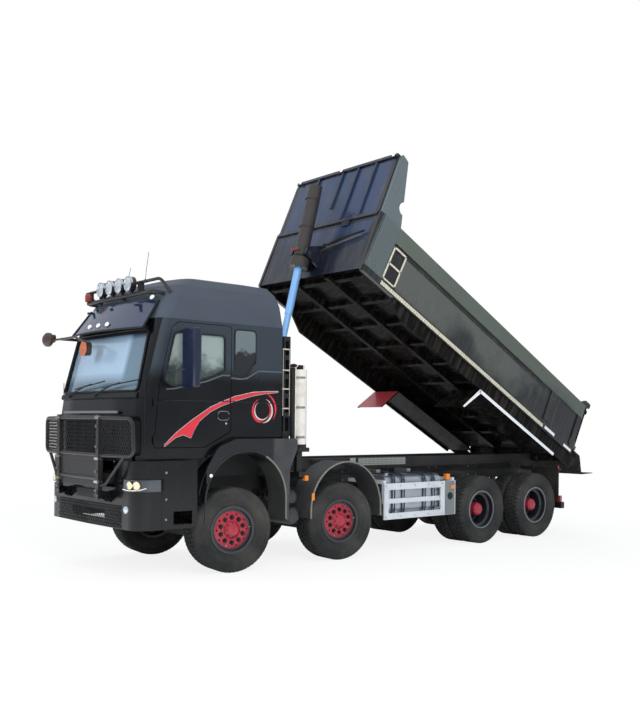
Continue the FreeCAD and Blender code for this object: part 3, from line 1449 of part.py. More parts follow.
def bed_chute():
    """A lip under the tailgate that throws the load clear."""
    half = size.bed_half_width - 65 - 11
    plate = prism("YZ", [
        (BED_REAR, FLOOR_TOP), (BED_REAR, size.bed_floor_bottom - 10), (190, 46), (535, -34),
        (836, 137), (834, 149), (540, -16), (215, 70), (60, size.bed_floor_bottom + 20)],
        -half, 2 * half)
    cheek = prism("YZ", [(20, 240), (20, 120), (190, 46), (535, -34), (320, 236)], half - 20, 20)
    return join(plate, both_sides(cheek))


# ---------------------------------------------------------------- tipping ram

def trunnion_in_bed():
    """The trunnion's place beside the bed's hinge, with the bed lowered."""
    return Vector(0, number(BED_FRONT - size.trunnion_ahead), number(size.trunnion_rise))


def ram():
    """Cover on trunnions, then four tubes inside each other, the last with an eye."""
    top = BED_PLACE.multVec(trunnion_in_bed())
    foot = Vector(0, number(RAM_EYE_Y), number(size.ram_eye_height))
    way = (foot - top).normalize()
    reach = (foot - top).Length

    def along(distance):
        point = top + way * number(distance)
        return (0, point.y, point.z)

    cover = cut(
        join(rod(size.cover_radius, size.cover_above + size.cover_below,
                 along(-size.cover_above), way),
             rod(size.collar_radius, size.collar_height,
                 along(size.cover_below - size.collar_height), way)),
        rod(size.cover_radius - size.cover_wall, size.cover_above + size.cover_below - 50,
            along(20 - size.cover_above), way),
        rod(size.stage_one_radius + size.running_gap, 200, along(size.cover_below - 100), way))
    ear_x = size.collar_radius + 10
    pins = rod(size.trunnion_radius, 2 * ear_x + 80, (-ear_x - 40, top.y, top.z), "X")
    inside = rod(size.cover_radius - size.cover_wall / 2, 300, along(-150), way)
    pads = rod(50, 2 * size.cover_radius + 30, (-size.cover_radius - 15, top.y, top.z), "X")
    keep("ram_cover", join(cover, cut(join(pins, pads), inside)))
    for index in range(4):
        radius = size.stage_one_radius - index * size.stage_step
        low = size.cover_below + (index + 1) * size.stage_stagger - 20
        low = low + (index + 1) * size.stage_stroke
        outer = rod(radius, size.stage_length, along(low - size.stage_length), way)
        if index < 3:
            bore = rod(radius - size.stage_wall, size.stage_length + 20,
                       along(low - size.stage_length - 10), way)
            keep(f"ram_tube_{index + 1}", cut(outer, bore))
            continue
        rest = Size(reach, repr(reach)) - low
        stub = rod(radius, rest - 30, along(low), way)
        half_eye = size.eye_width / 2
        eye = rod(size.eye_radius, size.eye_width, (-half_eye, foot.y, foot.z), "X")
        hole = rod(25, size.eye_width + 20, (-half_eye - 10, foot.y, foot.z), "X")
        keep("ram_rod", cut(join(outer, stub, eye), hole))


# ---------------------------------------------------------------- assembly

keep("frame_rails", frame_rails())
keep("tipper_subframe", tipper_subframe())
keep("axle_beams", join(steered_beam(AXLES[1]), steered_beam(AXLES[2]),
                       driven_housing(AXLES[3]), driven_housing(AXLES[4])))
keep("leaf_springs", leaf_springs())
keep("engine_block", engine_block())
keep("propeller_shafts", propeller_shafts())
wheels()
keep("bumper_and_steps", bumper_and_steps())
keep("lamps", join(head_lamps(), tail_lamps()))
keep("fuel_tank", fuel_tank())
keep("battery_box", battery_box())
keep("air_tanks", air_tanks())
keep("exhaust_stack", exhaust_stack())
keep("air_intake", air_intake())
keep("mudguards", mudguards())
keep("side_guards", side_guards())
keep("rear_underride", rear_underride())
cab_outer = build_cab()
keep("front_grille", front_grille())
keep("sun_visor", sun_visor(cab_outer))
keep("roof_light_bar", roof_light_bar(cab_outer))
keep("front_mirrors", front_mirrors(cab_outer))
keep("cab_interior", cab_interior())
keep("bull_bar", bull_bar())
side = join(bed_side(), gate_bracket())
keep("bed_floor", raise_bed(join(bed_floor(), bed_chute())))
keep("bed_side_left", raise_bed(side))
keep("bed_side_right", raise_bed(mirrored(side)))
keep("bed_front_wall", raise_bed(bed_front_wall()))
keep("bed_fenders", raise_bed(bed_fenders()))
keep("tailgate", raise_bed(tailgate()))
ram()

doc.recompute()

for thing in doc.Objects:
    if "Invalid" in thing.State or "Error" in thing.State:
        raise RuntimeError(f"{thing.Name} ({thing.TypeId}) failed: {thing.State}")
for name, piece in nodes.items():
    if piece.Shape.isNull() or not piece.Shape.isValid():
        raise RuntimeError(f"{name} has no valid shape")
    piece.Shape.exportStep(f"parts/{name}.step")
print(len(nodes), "nodes")
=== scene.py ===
import math
import bpy
from mathutils import Matrix, Vector


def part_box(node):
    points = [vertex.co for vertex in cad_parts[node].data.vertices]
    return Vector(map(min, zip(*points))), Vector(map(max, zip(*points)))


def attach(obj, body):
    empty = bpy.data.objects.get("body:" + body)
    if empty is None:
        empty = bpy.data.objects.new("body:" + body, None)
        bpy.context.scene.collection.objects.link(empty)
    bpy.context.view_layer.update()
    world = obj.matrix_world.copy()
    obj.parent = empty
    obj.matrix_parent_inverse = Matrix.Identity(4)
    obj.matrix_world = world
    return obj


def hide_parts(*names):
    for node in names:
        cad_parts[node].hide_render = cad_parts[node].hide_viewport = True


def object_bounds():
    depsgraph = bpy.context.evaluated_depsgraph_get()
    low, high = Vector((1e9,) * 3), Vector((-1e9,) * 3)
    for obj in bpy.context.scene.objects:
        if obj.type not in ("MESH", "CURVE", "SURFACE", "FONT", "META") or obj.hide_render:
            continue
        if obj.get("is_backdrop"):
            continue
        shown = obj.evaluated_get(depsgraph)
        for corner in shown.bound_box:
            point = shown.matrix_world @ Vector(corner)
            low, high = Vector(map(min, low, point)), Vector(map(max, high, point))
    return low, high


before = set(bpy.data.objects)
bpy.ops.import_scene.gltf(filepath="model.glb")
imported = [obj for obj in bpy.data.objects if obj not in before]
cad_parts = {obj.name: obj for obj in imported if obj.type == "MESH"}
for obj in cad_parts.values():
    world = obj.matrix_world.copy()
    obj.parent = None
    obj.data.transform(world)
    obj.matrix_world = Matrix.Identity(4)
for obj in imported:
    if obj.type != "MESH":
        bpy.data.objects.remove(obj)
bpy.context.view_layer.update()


# ---- Studio -------------------------------------------------------------------------------
# A pale painted floor, white surroundings and three large soft lamps. The camera stands low at
# the truck's front left corner.

# places along the truck are measured back from its first axle
FIRST_AXLE = sum(corner.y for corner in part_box("tyre_1_left")) / 2

camera = bpy.data.objects.new("camera", bpy.data.cameras.new("camera"))
bpy.context.scene.collection.objects.link(camera)
bpy.context.scene.camera = camera
camera_place = (10.80, -9.78, 1.922)
# where the camera stands round the truck, how far it looks down, and how far it leans
turn, rise, roll = math.radians(48.67), math.radians(-0.2), math.radians(0.55)
back = Vector((math.sin(turn) * math.cos(rise), -math.cos(turn) * math.cos(rise), math.sin(rise)))
right = (-back).cross(Vector((0, 0, 1))).normalized()
up = right.cross(-back)
right, up = (math.cos(roll) * right + math.sin(roll) * up,
             math.cos(roll) * up - math.sin(roll) * right)
camera.matrix_world = (Matrix.Translation(camera_place)
                       @ Matrix((right, up, back)).transposed().to_4x4())
camera.data.lens = 45.27
camera.data.shift_x = -0.0348
camera.data.shift_y = 0.0765
camera.data.clip_end = 200


def colour(text):
    """An sRGB hex colour as linear values."""
    parts = [int(text[i:i + 2], 16) / 255 for i in (1, 3, 5)]
    return [p / 12.92 if p <= 0.04045 else ((p + 0.055) / 1.055) ** 2.4 for p in parts] + [1.0]


def add(tree, kind, sockets=None, **settings):
    """Add a node, set its fields, and give its sockets a value or another node's output."""
    made = tree.nodes.new(kind)
    for name, value in settings.items():
        setattr(made, name, value)
    for name, value in (sockets or {}).items():
        if isinstance(value, bpy.types.NodeSocket):
            tree.links.new(value, made.inputs[name])
        else:
            made.inputs[name].default_value = value
    return made


def blank_material(name):
    """A material and its empty tree."""
    material = bpy.data.materials.new(name)
    material.use_nodes = True
    material.node_tree.nodes.clear()
    return material, material.node_tree


# matt floor paint, mottled a little by wear
floor_paint, tree = blank_material("floor_paint")
where = add(tree, "ShaderNodeTexCoord")
mottle = add(tree, "ShaderNodeTexNoise", {"Vector": where.outputs["Object"], "Scale": 0.6})
tone = add(tree, "ShaderNodeMixRGB", {"Fac": mottle.outputs["Fac"], "Color1": colour("#EFEFEE"),
                                      "Color2": colour("#F4F4F3")})
matt = add(tree, "ShaderNodeBsdfDiffuse", {"Color": tone.outputs["Color"]})
white = add(tree, "ShaderNodeEmission", {"Color": colour("#FFFFFF"), "Strength": 1.0})
seen = add(tree, "ShaderNodeLightPath")
# the painted floor runs out into white, so no horizon shows
far = add(tree, "ShaderNodeVectorMath", {0: where.outputs["Object"]}, operation="LENGTH")
fade = add(tree, "ShaderNodeMapRange", {"Value": far.outputs["Value"], "From Min": 5.0,
                                        "From Max": 11.0, "To Min": 0.84, "To Max": 1.0})
share = add(tree, "ShaderNodeMath", {0: seen.outputs["Is Camera Ray"], 1: fade.outputs[0]},
            operation="MULTIPLY")
blend = add(tree, "ShaderNodeMixShader", {0: share.outputs[0], 1: matt.outputs[0],
                                          2: white.outputs[0]})
add(tree, "ShaderNodeOutputMaterial", {"Surface": blend.outputs[0]})
FLOOR_HALF = 60
floor_mesh = bpy.data.meshes.new("floor")
floor_mesh.from_pydata([(x * FLOOR_HALF, y * FLOOR_HALF, 0)
                        for x, y in ((-1, -1), (1, -1), (1, 1), (-1, 1))], [], [(0, 1, 2, 3)])
floor = bpy.data.objects.new("floor", floor_mesh)
bpy.context.scene.collection.objects.link(floor)
floor.data.materials.append(floor_paint)
floor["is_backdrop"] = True

world = bpy.data.worlds.new("studio")
bpy.context.scene.world = world
world.use_nodes = True
world.node_tree.nodes.clear()
tree = world.node_tree
seen = add(tree, "ShaderNodeLightPath")
plain = add(tree, "ShaderNodeMath", {0: seen.outputs["Is Camera Ray"],
                                     1: seen.outputs["Is Transmission Ray"]}, operation="MAXIMUM")
look = add(tree, "ShaderNodeTexCoord")
height = add(tree, "ShaderNodeSeparateXYZ", {0: look.outputs["Generated"]})
sky = add(tree, "ShaderNodeMapRange", {"Value": height.outputs["Z"], "From Min": -0.05,
                                       "From Max": 0.75, "To Min": 0.30, "To Max": 0.95})
dome = add(tree, "ShaderNodeBackground", {"Color": colour("#E9EFF8"), "Strength": sky.outputs[0]})
paper = add(tree, "ShaderNodeBackground", {"Color": colour("#FFFFFF"), "Strength": 1.0})
both = add(tree, "ShaderNodeMixShader", {0: plain.outputs[0], 1: dome.outputs[0],
                                         2: paper.outputs[0]})
add(tree, "ShaderNodeOutputWorld", {"Surface": both.outputs[0]})

# lamp: place, point it faces, width, watts
for name, place, target, width, watts in (
        ("side_lamp", (13, -7, 9), (0, 0, 2), 7.0, 1500),
        ("front_lamp", (-3, -15, 8), (0, -2, 2), 6.0, 900),
        ("back_lamp", (-8, 12, 10), (0, 2, 3), 6.0, 800)):
    light = bpy.data.lights.new(name, "AREA")
    light.energy, light.size = watts, width
    lamp = bpy.data.objects.new(name, light)
    bpy.context.scene.collection.objects.link(lamp)
    lamp.location = place
    lamp.rotation_euler = (Vector(target) - Vector(place)).to_track_quat("-Z", "Y").to_euler()
    # lacquer and glass mirror the surroundings, not the lamps
    lamp.visible_glossy = False
bpy.context.scene.view_settings.view_transform = "Standard"


# ---- Chassis ------------------------------------------------------------------------------
# Rolled steel rails, a box subframe, axles and leaf springs, all sprayed with one black
# chassis enamel after assembly. Road dust dulls it in patches and its gloss is half gone.

# each side of the truck, and the sign of its x
SIDES = (("left", 1), ("right", -1))


def surface(name, paint, dust, dusty, roughness, grain, lift, coat=0.0, metallic=0.0,
            shine=0.5):
    """A finish with dust in patches: dusty is the greatest share of dust, grain and its lift
    are in mm, coat is the weight of a clear lacquer, and shine is the level of the gloss."""
    material, tree = blank_material(name)
    where = add(tree, "ShaderNodeTexCoord").outputs["Object"]
    patch = add(tree, "ShaderNodeTexNoise", {"Vector": where, "Scale": 2.2, "Detail": 6.0,
                                             "Roughness": 0.62})
    cover = add(tree, "ShaderNodeMapRange", {"Value": patch.outputs["Fac"], "From Min": 0.38,
                                             "From Max": 0.70, "To Min": 0.0, "To Max": dusty})
    tone = add(tree, "ShaderNodeMixRGB", {"Fac": cover.outputs[0], "Color1": colour(paint),
                                          "Color2": colour(dust)})
    # the grain is drawn four times as coarse, so that it shows
    fine = add(tree, "ShaderNodeTexNoise", {"Vector": where, "Scale": 1000.0 / grain / 4,
                                            "Detail": 3.0})
    rough = add(tree, "ShaderNodeMapRange", {"Value": patch.outputs["Fac"], "From Min": 0.3,
                                             "From Max": 0.7, "To Min": roughness,
                                             "To Max": min(1.0, roughness + dusty * 0.4)})
    relief = add(tree, "ShaderNodeBump", {"Height": fine.outputs["Fac"], "Strength": 0.5,
                                          "Distance": lift / 1000})
    body = add(tree, "ShaderNodeBsdfPrincipled", {
        "Base Color": tone.outputs[0], "Roughness": rough.outputs[0], "Metallic": metallic,
        "Specular IOR Level": shine, "Coat Weight": coat, "Coat Roughness": 0.06,
        "Normal": relief.outputs[0]})
    add(tree, "ShaderNodeOutputMaterial", {"Surface": body.outputs[0]})
    return material


def wear(material, *nodes):
    """Put a finish on CAD nodes."""
    for node in nodes:
        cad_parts[node].data.materials.clear()
        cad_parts[node].data.materials.append(material)


# sprayed enamel on steel: near black, half dulled by dust
chassis_enamel = surface("chassis_enamel", "#15171A", "#46423C", 0.45, 0.42, 6, 0.4)
# the same enamel low down, where road dirt greys it
axle_enamel = surface("axle_enamel", "#1A1C1E", "#57504A", 0.65, 0.55, 5, 0.6)
wear(chassis_enamel, "frame_rails", "tipper_subframe", "rear_underride")
wear(axle_enamel, "axle_beams", "propeller_shafts", "engine_block", "leaf_springs")
for axle in (1, 2):
    for side in ("left", "right"):
        wear(axle_enamel, f"knuckle_{axle}_{side}")


def shape(name, points, faces, material, body, bevel=0.0):
    """Make one mesh piece, round its edges by the bevel, and let it ride on a body."""
    mesh = bpy.data.meshes.new(name)
    mesh.from_pydata([tuple(p) for p in points], [], faces)
    mesh.validate()
    mesh.shade_smooth()
    mesh.set_sharp_from_angle(angle=math.radians(35))
    piece = bpy.data.objects.new(name, mesh)
    bpy.context.scene.collection.objects.link(piece)
    mesh.materials.append(material)
    if bevel:
        edge = piece.modifiers.new("edge", "BEVEL")
        edge.width, edge.segments, edge.limit_method = bevel, 2, "ANGLE"
    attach(piece, body)
    return piece


def block(low, high, index):
    """Corners and faces of a plain block, numbered from index, for joined meshes."""
    points = [Vector((x, y, z)) for z in (low[2], high[2]) for y in (low[1], high[1])
              for x in (low[0], high[0])]
    faces = [(0, 2, 3, 1), (4, 5, 7, 6), (0, 1, 5, 4), (2, 6, 7, 3), (0, 4, 6, 2), (1, 3, 7, 5)]
    return points, [tuple(index + i for i in face) for face in faces]


def span(sign, across, along, height, start=FIRST_AXLE):
    """Two corners of a block on one side of the truck, along from the first axle or a start."""
    return ((sign * across[0], start + along[0], height[0]),
            (sign * across[1], start + along[1], height[1]))


def blocks(name, spans, material, body, bevel=0.0, move=None):
    """Many blocks joined in one piece; move puts each corner in its place."""
    points, faces = [], []
    for low, high in spans:
        more, sides = block(low, high, len(points))
        points += more
        faces += sides
    if move:
        points = [move(*p) for p in points]
    return shape(name, points, faces, material, body, bevel)


def ring(centre, axis, radius, count):
    """Points on a circle round an axis."""
    axis = Vector(axis).normalized()
    first = axis.orthogonal().normalized()
    second = axis.cross(first)
    angles = [2 * math.pi * i / count for i in range(count)]
    return [Vector(centre) + radius * (math.cos(angle) * first + math.sin(angle) * second)
            for angle in angles]


def turned(name, profile, centre, axis, material, body, count=48, move=None,
           hoop=False):
    """A turned piece: its profile is (along the axis, radius) from one end to the other, or
    all round the section of a hoop."""
    axis = Vector(axis).normalized()
    points, faces = [], []
    for along, radius in profile:
        points += ring(Vector(centre) + axis * along, axis, max(radius, 0.0003), count)
    for row in range(len(profile) - (not hoop)):
        for i in range(count):
            a, b = row * count + i, row * count + (i + 1) % count
            ahead = (row + 1) % len(profile) * count - row * count
            faces.append((a, b, b + ahead, a + ahead))
    if not hoop:
        faces.append(tuple(reversed(range(count))))
        faces.append(tuple(range(len(points) - count, len(points))))
    if move:
        points = [move(*p) for p in points]
    return shape(name, points, faces, material, body)


def rounded(corners, radius, steps=5):
    """A closed outline of flat points with each corner rounded."""
    line = []
    for index, corner in enumerate(corners):
        here = Vector(corner)
        before = Vector(corners[index - 1]) - here
        after = Vector(corners[(index + 1) % len(corners)]) - here
        reach = min(radius, before.length * 0.45, after.length * 0.45)
        start, end = here + before.normalized() * reach, here + after.normalized() * reach
        for step in range(steps + 1):
            t = step / steps
            line.append((1 - t) ** 2 * start + 2 * t * (1 - t) * here + t * t * end)
    return line


def tube(name, points, radius, material, body, closed=False, sides=8):
    """A round bar or hose swept along points."""
    points = [Vector(p) for p in points]
    count = len(points)
    rows, faces = [], []
    normal = None
    for index, here in enumerate(points):
        ahead = points[(index + 1) % count] if closed or index < count - 1 else here
        behind = points[index - 1] if closed or index else here
        way = (ahead - behind).normalized()
        normal = way.orthogonal() if normal is None else normal - way * normal.dot(way)
        normal.normalize()
        other = way.cross(normal)
        rows += [here + radius * (math.cos(2 * math.pi * i / sides) * normal
                                  + math.sin(2 * math.pi * i / sides) * other)
                 for i in range(sides)]
    for row in range(count if closed else count - 1):
        for i in range(sides):
            a, b = row * sides + i, row * sides + (i + 1) % sides
            c = ((row + 1) % count) * sides
            faces.append((a, b, c + (i + 1) % sides, c + i))
    if not closed:
        faces.append(tuple(reversed(range(sides))))
        faces.append(tuple(range(len(rows) - sides, len(rows))))
    return shape(name, rows, faces, material, body)


def rim_faces(count, index=0):
    """Side faces between two outlines of count points each, numbered from index."""
    return [(index + i, index + (i + 1) % count, index + count + (i + 1) % count,
             index + count + i) for i in range(count)]


def hexagons(name, places, axis, across, height, material, body):
    """Hexagon bolt heads on washers at the places, all facing along the axis."""
    points, faces = [], []
    axis = Vector(axis).normalized()
    for place in places:
        for radius, low, high, sides in ((across * 0.85, 0, height * 0.25, 12),
                                         (across * 0.56, height * 0.25, height, 6)):
            start = len(points)
            points += ring(Vector(place) + axis * low, axis, radius, sides)
            points += ring(Vector(place) + axis * high, axis, radius, sides)
            faces += rim_faces(sides, start)
            faces.append(tuple(start + sides + i for i in range(sides)))
    return shape(name, points, faces, material, body)


# zinc-plated steel: pale, with a soft metal gleam under road film
zinc = surface("zinc_plate", "#A9ABA6", "#6B665C", 0.35, 0.38, 3, 0.1, metallic=1.0)
# extruded rubber: black and nearly matt
hose_rubber = surface("hose_rubber", "#141414", "#3A3835", 0.3, 0.6, 3, 0.2)
RAIL_FACE = 0.4302
BOLTS_ALONG = (1.15, 1.3, 2.45, 2.6, 3.4, 3.55, 4.33, 4.5, 5.3, 5.5, 6.5, 6.7)
# hose: height at its clips, sag between them, radius
HOSES = ((1.222, 0.010, 0.011), (1.196, 0.014, 0.009), (1.165, 0.018, 0.012))
HOSE_SIDE = 0.441
# a hose has a clip at every fourth of its points, and hangs lowest halfway between two
HOSE_START, HOSE_STEP, HOSE_POINTS = 0.9, 0.2, 29
SAG_SHARES = (0.0, 1.0, 1.4, 1.0)
for side, sign in SIDES:
    places = [Vector((sign * RAIL_FACE, FIRST_AXLE + along, height)) for height in (1.05, 1.19)
              for along in BOLTS_ALONG]
    hexagons(f"frame_bolts_{side}", places, (sign, 0, 0), 0.022, 0.016, zinc, "chassis")
    for number, (height, sag, radius) in enumerate(HOSES):
        run = [(sign * (HOSE_SIDE + radius), FIRST_AXLE + HOSE_START + HOSE_STEP * i,
                height - sag * SAG_SHARES[i % 4]) for i in range(HOSE_POINTS)]
        tube(f"frame_hose_{side}_{number + 1}", run, radius, hose_rubber, "chassis")

# a perforated aluminium walkway plate on the subframe's left side: dull, with dark holes
walk_metal, tree = blank_material("perforated_aluminium")
where = add(tree, "ShaderNodeTexCoord").outputs["Object"]
# punched holes 14 mm apart, drawn 28 mm apart so that they show
cells = add(tree, "ShaderNodeTexVoronoi", {"Vector": where, "Scale": 1000 / 28, "Randomness": 0.0})
hole = add(tree, "ShaderNodeMapRange", {"Value": cells.outputs["Distance"], "From Min": 0.26,
                                        "From Max": 0.32})
tone = add(tree, "ShaderNodeMixRGB", {"Fac": hole.outputs[0], "Color1": colour("#55585A"),
                                      "Color2": colour("#B5B6B0")})
relief = add(tree, "ShaderNodeBump", {"Height": hole.outputs[0], "Distance": 0.003})
metal = add(tree, "ShaderNodeBsdfPrincipled", {"Base Color": tone.outputs[0], "Metallic": 0.6,
                                               "Roughness": 0.5, "Normal": relief.outputs[0]})
add(tree, "ShaderNodeOutputMaterial", {"Surface": metal.outputs[0]})
blocks("subframe_plate", [span(1, (0.432, 0.446), (2.76, 3.78), (1.262, 1.378)),
                          span(1, (0.432, 0.440), (2.60, 2.71), (1.250, 1.380))],
       walk_metal, "chassis", 0.002)


# ---- Wheels -------------------------------------------------------------------------------
# Pressed steel discs in red enamel with black barrels, held by ten nuts, on black radial
# tyres. The steering tyres have ribs, and the twin tyres have open blocks for mud.

# moulded tyre rubber: charcoal and matt, with pale dust in it
tyre_rubber = surface("tyre_rubber", "#1B1C1D", "#55534E", 0.55, 0.72, 4, 0.5)
# forged nuts, browned by heat and brake dust
nut_steel = surface("nut_steel", "#2A2324", "#5A4A45", 0.4, 0.45, 3, 0.2, metallic=0.7)
TREAD_RADIUS = 0.542
PITCH_STEPS = 6


def tyre_mesh(name, half, bead, columns, pitches, depth, shoulder, offsets):
    """A moulded tyre about its own middle: columns across the tread are (distance, groove
    share), and the first step of each pitch is a cross groove."""
    side_wall = [(bead, 0.2868), (bead, 0.3008), (bead + 0.010, 0.313), (bead + 0.018, 0.330),
                 (bead + 0.024, 0.334), (bead + 0.026, 0.342), (half - 0.008, 0.372),
                 (half - 0.001, 0.400), (half, 0.430), (half - 0.004, 0.436),
                 (half - 0.004, 0.462), (half, 0.468), (half - 0.002, 0.500),
                 (half - 0.009, 0.516), (half - 0.020, 0.528), (half - 0.034, 0.5385)]
    rows = [(x, r, 0.0, r > shoulder) for x, r in side_wall]
    rows += [(x, TREAD_RADIUS, groove, True) for x, groove in columns]
    rows += [(-x, TREAD_RADIUS, groove, True) for x, groove in reversed(columns)]
    rows += [(-x, r, 0.0, r > shoulder) for x, r in reversed(side_wall)]
    steps = pitches * PITCH_STEPS
    points, faces = [], []
    for offset in offsets:
        first = len(points)
        for step in range(steps):
            for row, (x, radius, groove, cross) in enumerate(rows):
                # the middle blocks lie half a pitch on, and the grooves zigzag
                shift = PITCH_STEPS // 2 if abs(x) < columns[0][0] * 0.45 else 0
                cut = groove
                if cross and (step + shift) % PITCH_STEPS == 0:
                    cut = max(cut, 1.0 if abs(x) <= columns[0][0] else 0.6)
                sway = 0.0
                if groove:
                    sway = 0.004 if step % PITCH_STEPS < PITCH_STEPS // 2 else -0.004
                angle = 2 * math.pi * (step + 0.35 * math.sin(x * 26)) / steps
                low = radius - depth * cut
                points.append((offset + x + sway, low * math.cos(angle), low * math.sin(angle)))
        count = len(rows)
        for step in range(steps):
            ahead = (step + 1) % steps
            for row in range(count):
                other = (row + 1) % count
                faces.append((first + step * count + row, first + step * count + other,
                              first + ahead * count + other, first + ahead * count + row))
    mesh = bpy.data.meshes.new(name)
    mesh.from_pydata(points, [], faces)
    mesh.shade_smooth()
    mesh.set_sharp_from_angle(angle=math.radians(32))
    mesh.materials.append(tyre_rubber)
    return mesh


steer_tread = [(0.143, 0.0), (0.108, 0.0), (0.104, 0.95), (0.094, 0.95), (0.090, 0.0),
               (0.048, 0.0), (0.044, 0.95), (0.034, 0.95), (0.030, 0.0)]
drive_tread = [(0.117, 0.0), (0.088, 0.0), (0.083, 1.0), (0.070, 1.0), (0.065, 0.0),
               (0.012, 0.0), (0.007, 1.0)]
steer_tyre = tyre_mesh("steer_tyre", 0.1898, 0.1397, steer_tread, 60, 0.011, 0.530, [0.0])
drive_tyre = tyre_mesh("drive_tyre", 0.1573, 0.1077, drive_tread, 50, 0.018, 0.505,
                       [0.175, -0.175])


RIM_EDGE = 0.292


def wheel_enamel(name, place, red, edge):
    """Red enamel out to a radius, then black, then a worn bright edge, measured from the
    wheel's own axle."""
    material, tree = blank_material(name)
    where = add(tree, "ShaderNodeTexCoord").outputs["Object"]
    local = add(tree, "ShaderNodeMapping", {"Vector": where, "Location": place.translation,
                                            "Rotation": place.to_euler()},
                vector_type="TEXTURE")
    split = add(tree, "ShaderNodeSeparateXYZ", {0: local.outputs[0]})
    flat = add(tree, "ShaderNodeCombineXYZ", {"Y": split.outputs["Y"], "Z": split.outputs["Z"]})
    radius = add(tree, "ShaderNodeVectorMath", {0: flat.outputs[0]}, operation="LENGTH")
    noise = add(tree, "ShaderNodeTexNoise", {"Vector": where, "Scale": 14.0, "Detail": 5.0})
    dust = add(tree, "ShaderNodeMapRange", {"Value": noise.outputs["Fac"], "From Min": 0.45,
                                            "From Max": 0.75, "To Max": 0.5})
    paint = add(tree, "ShaderNodeMixRGB", {"Fac": dust.outputs[0], "Color1": colour("#A01F33"),
                                           "Color2": colour("#6B2A30")})
    outside = add(tree, "ShaderNodeMath", {0: radius.outputs["Value"], 1: red},
                  operation="GREATER_THAN")
    barrel = add(tree, "ShaderNodeMixRGB", {"Fac": outside.outputs[0], "Color1": paint.outputs[0],
                                            "Color2": colour("#1C2024")})
    rim = add(tree, "ShaderNodeMath", {0: radius.outputs["Value"], 1: RIM_EDGE},
              operation="GREATER_THAN")
    tone = add(tree, "ShaderNodeMixRGB", {"Fac": rim.outputs[0], "Color1": barrel.outputs[0],
                                          "Color2": colour(edge)})
    rough = add(tree, "ShaderNodeMapRange", {"Value": noise.outputs["Fac"], "To Min": 0.25,
                                             "To Max": 0.6})
    body = add(tree, "ShaderNodeBsdfPrincipled", {"Base Color": tone.outputs[0], "Metallic": 0.0,
                                                  "Roughness": rough.outputs[0],
                                                  "Coat Weight": 0.4, "Coat Roughness": 0.15})
    add(tree, "ShaderNodeOutputMaterial", {"Surface": body.outputs[0]})
    return material


def round_hub(hub, out, radius, count, start=0.0):
    """Places on a circle round a wheel's axle."""
    angles = [2 * math.pi * (i + start) / count for i in range(count)]
    return [hub @ Vector((out, radius * math.cos(a), radius * math.sin(a))) for a in angles]


# kind of wheel: its tyre, how far out its disc lies, radius of the nuts, how far out from the
# disc the nuts and the hub cap stand, radius of the red enamel, colour of the rim's edge
STEERED = (steer_tyre, 0.0, 0.160, 0.1275, 0.182, 0.236, "#3A3F44")
TWIN = (drive_tyre, 0.175, 0.154, -0.1590, 0.074, 0.150, "#8A9096")
# axle: steering angle, kind of wheel
WHEELS = {1: (9, STEERED), 2: (6, STEERED), 3: (0, TWIN), 4: (0, TWIN)}
for axle, (steer, kind) in WHEELS.items():
    mould, disc, nut_circle, nut_face, cap_face, red, edge = kind
    for side, sign in SIDES:
        low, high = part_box(f"tyre_{axle}_{side}")
        place = (Matrix.Translation((low + high) / 2)
                 @ Matrix.Rotation(math.radians(-steer), 4, "Z")
                 @ Matrix.Rotation(0 if sign > 0 else math.pi, 4, "Z"))
        body = f"wheel_{axle}_{side}"
        moulded = bpy.data.objects.new(f"treaded_tyre_{axle}_{side}", mould)
        bpy.context.scene.collection.objects.link(moulded)
        moulded.matrix_world = place
        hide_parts(f"tyre_{axle}_{side}")
        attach(moulded, body)
        hub = place @ Matrix.Translation((disc, 0, 0))
        wear(wheel_enamel(f"wheel_enamel_{axle}_{side}", hub, red, edge), f"rim_{axle}_{side}")
        outward = hub.to_3x3() @ Vector((1, 0, 0))
        hexagons(f"wheel_nuts_{axle}_{side}", round_hub(hub, nut_face, nut_circle, 10, 0.5),
                 outward, 0.036, 0.030, nut_steel, body)
        hexagons(f"hub_cap_bolts_{axle}_{side}", round_hub(hub, cap_face - 0.030, 0.084, 8),
                 outward, 0.016, 0.012, nut_steel, body)
        valve = [hub @ Vector(p) for p in ((nut_face - 0.02, 0.222, 0.03),
                                           (nut_face + 0.012, 0.226, 0.03),
                                           (nut_face + 0.020, 0.250, 0.033))]
        tube(f"valve_{axle}_{side}", valve, 0.005, zinc, body, sides=6)


# ---- Cab ----------------------------------------------------------------------------------
# A pressed steel cab in black two-coat enamel under clear lacquer, with a moulded roof of
# grey grained plastic bonded on. Doors hang on hinges at their front edges.

# lacquered enamel on the bumper: deep black and glossy, less worn than the cab's
bumper_lacquer = surface("bumper_lacquer", "#08090B", "#1A1B1A", 0.30, 0.22, 12, 0.05, coat=0.3,
                         shine=0.25)
# grained roof moulding: blue grey with a broad dull sheen
roof_plastic = surface("roof_moulding", "#3A424C", "#4A525A", 0.30, 0.46, 5, 0.4)
# woven seat cloth: dark and without gloss
seat_cloth = surface("seat_cloth", "#2B2C30", "#3D3E42", 0.5, 0.9, 3, 0.6)
# moulded black trim: fine grain that dulls its gloss
trim_plastic = surface("trim_plastic", "#131416", "#33332F", 0.30, 0.55, 4, 0.5)
# extruded rubber seals and edgings: plain soft black
gasket_rubber = surface("gasket_rubber", "#0D0D0E", "#2A2A29", 0.2, 0.5, 3, 0.2)
# bright chrome plate: mirrors its surroundings
chrome = surface("chrome_plate", "#D8DADC", "#9A9A98", 0.15, 0.08, 20, 0.02, metallic=1.0)
wear(bumper_lacquer, "bumper_and_steps")

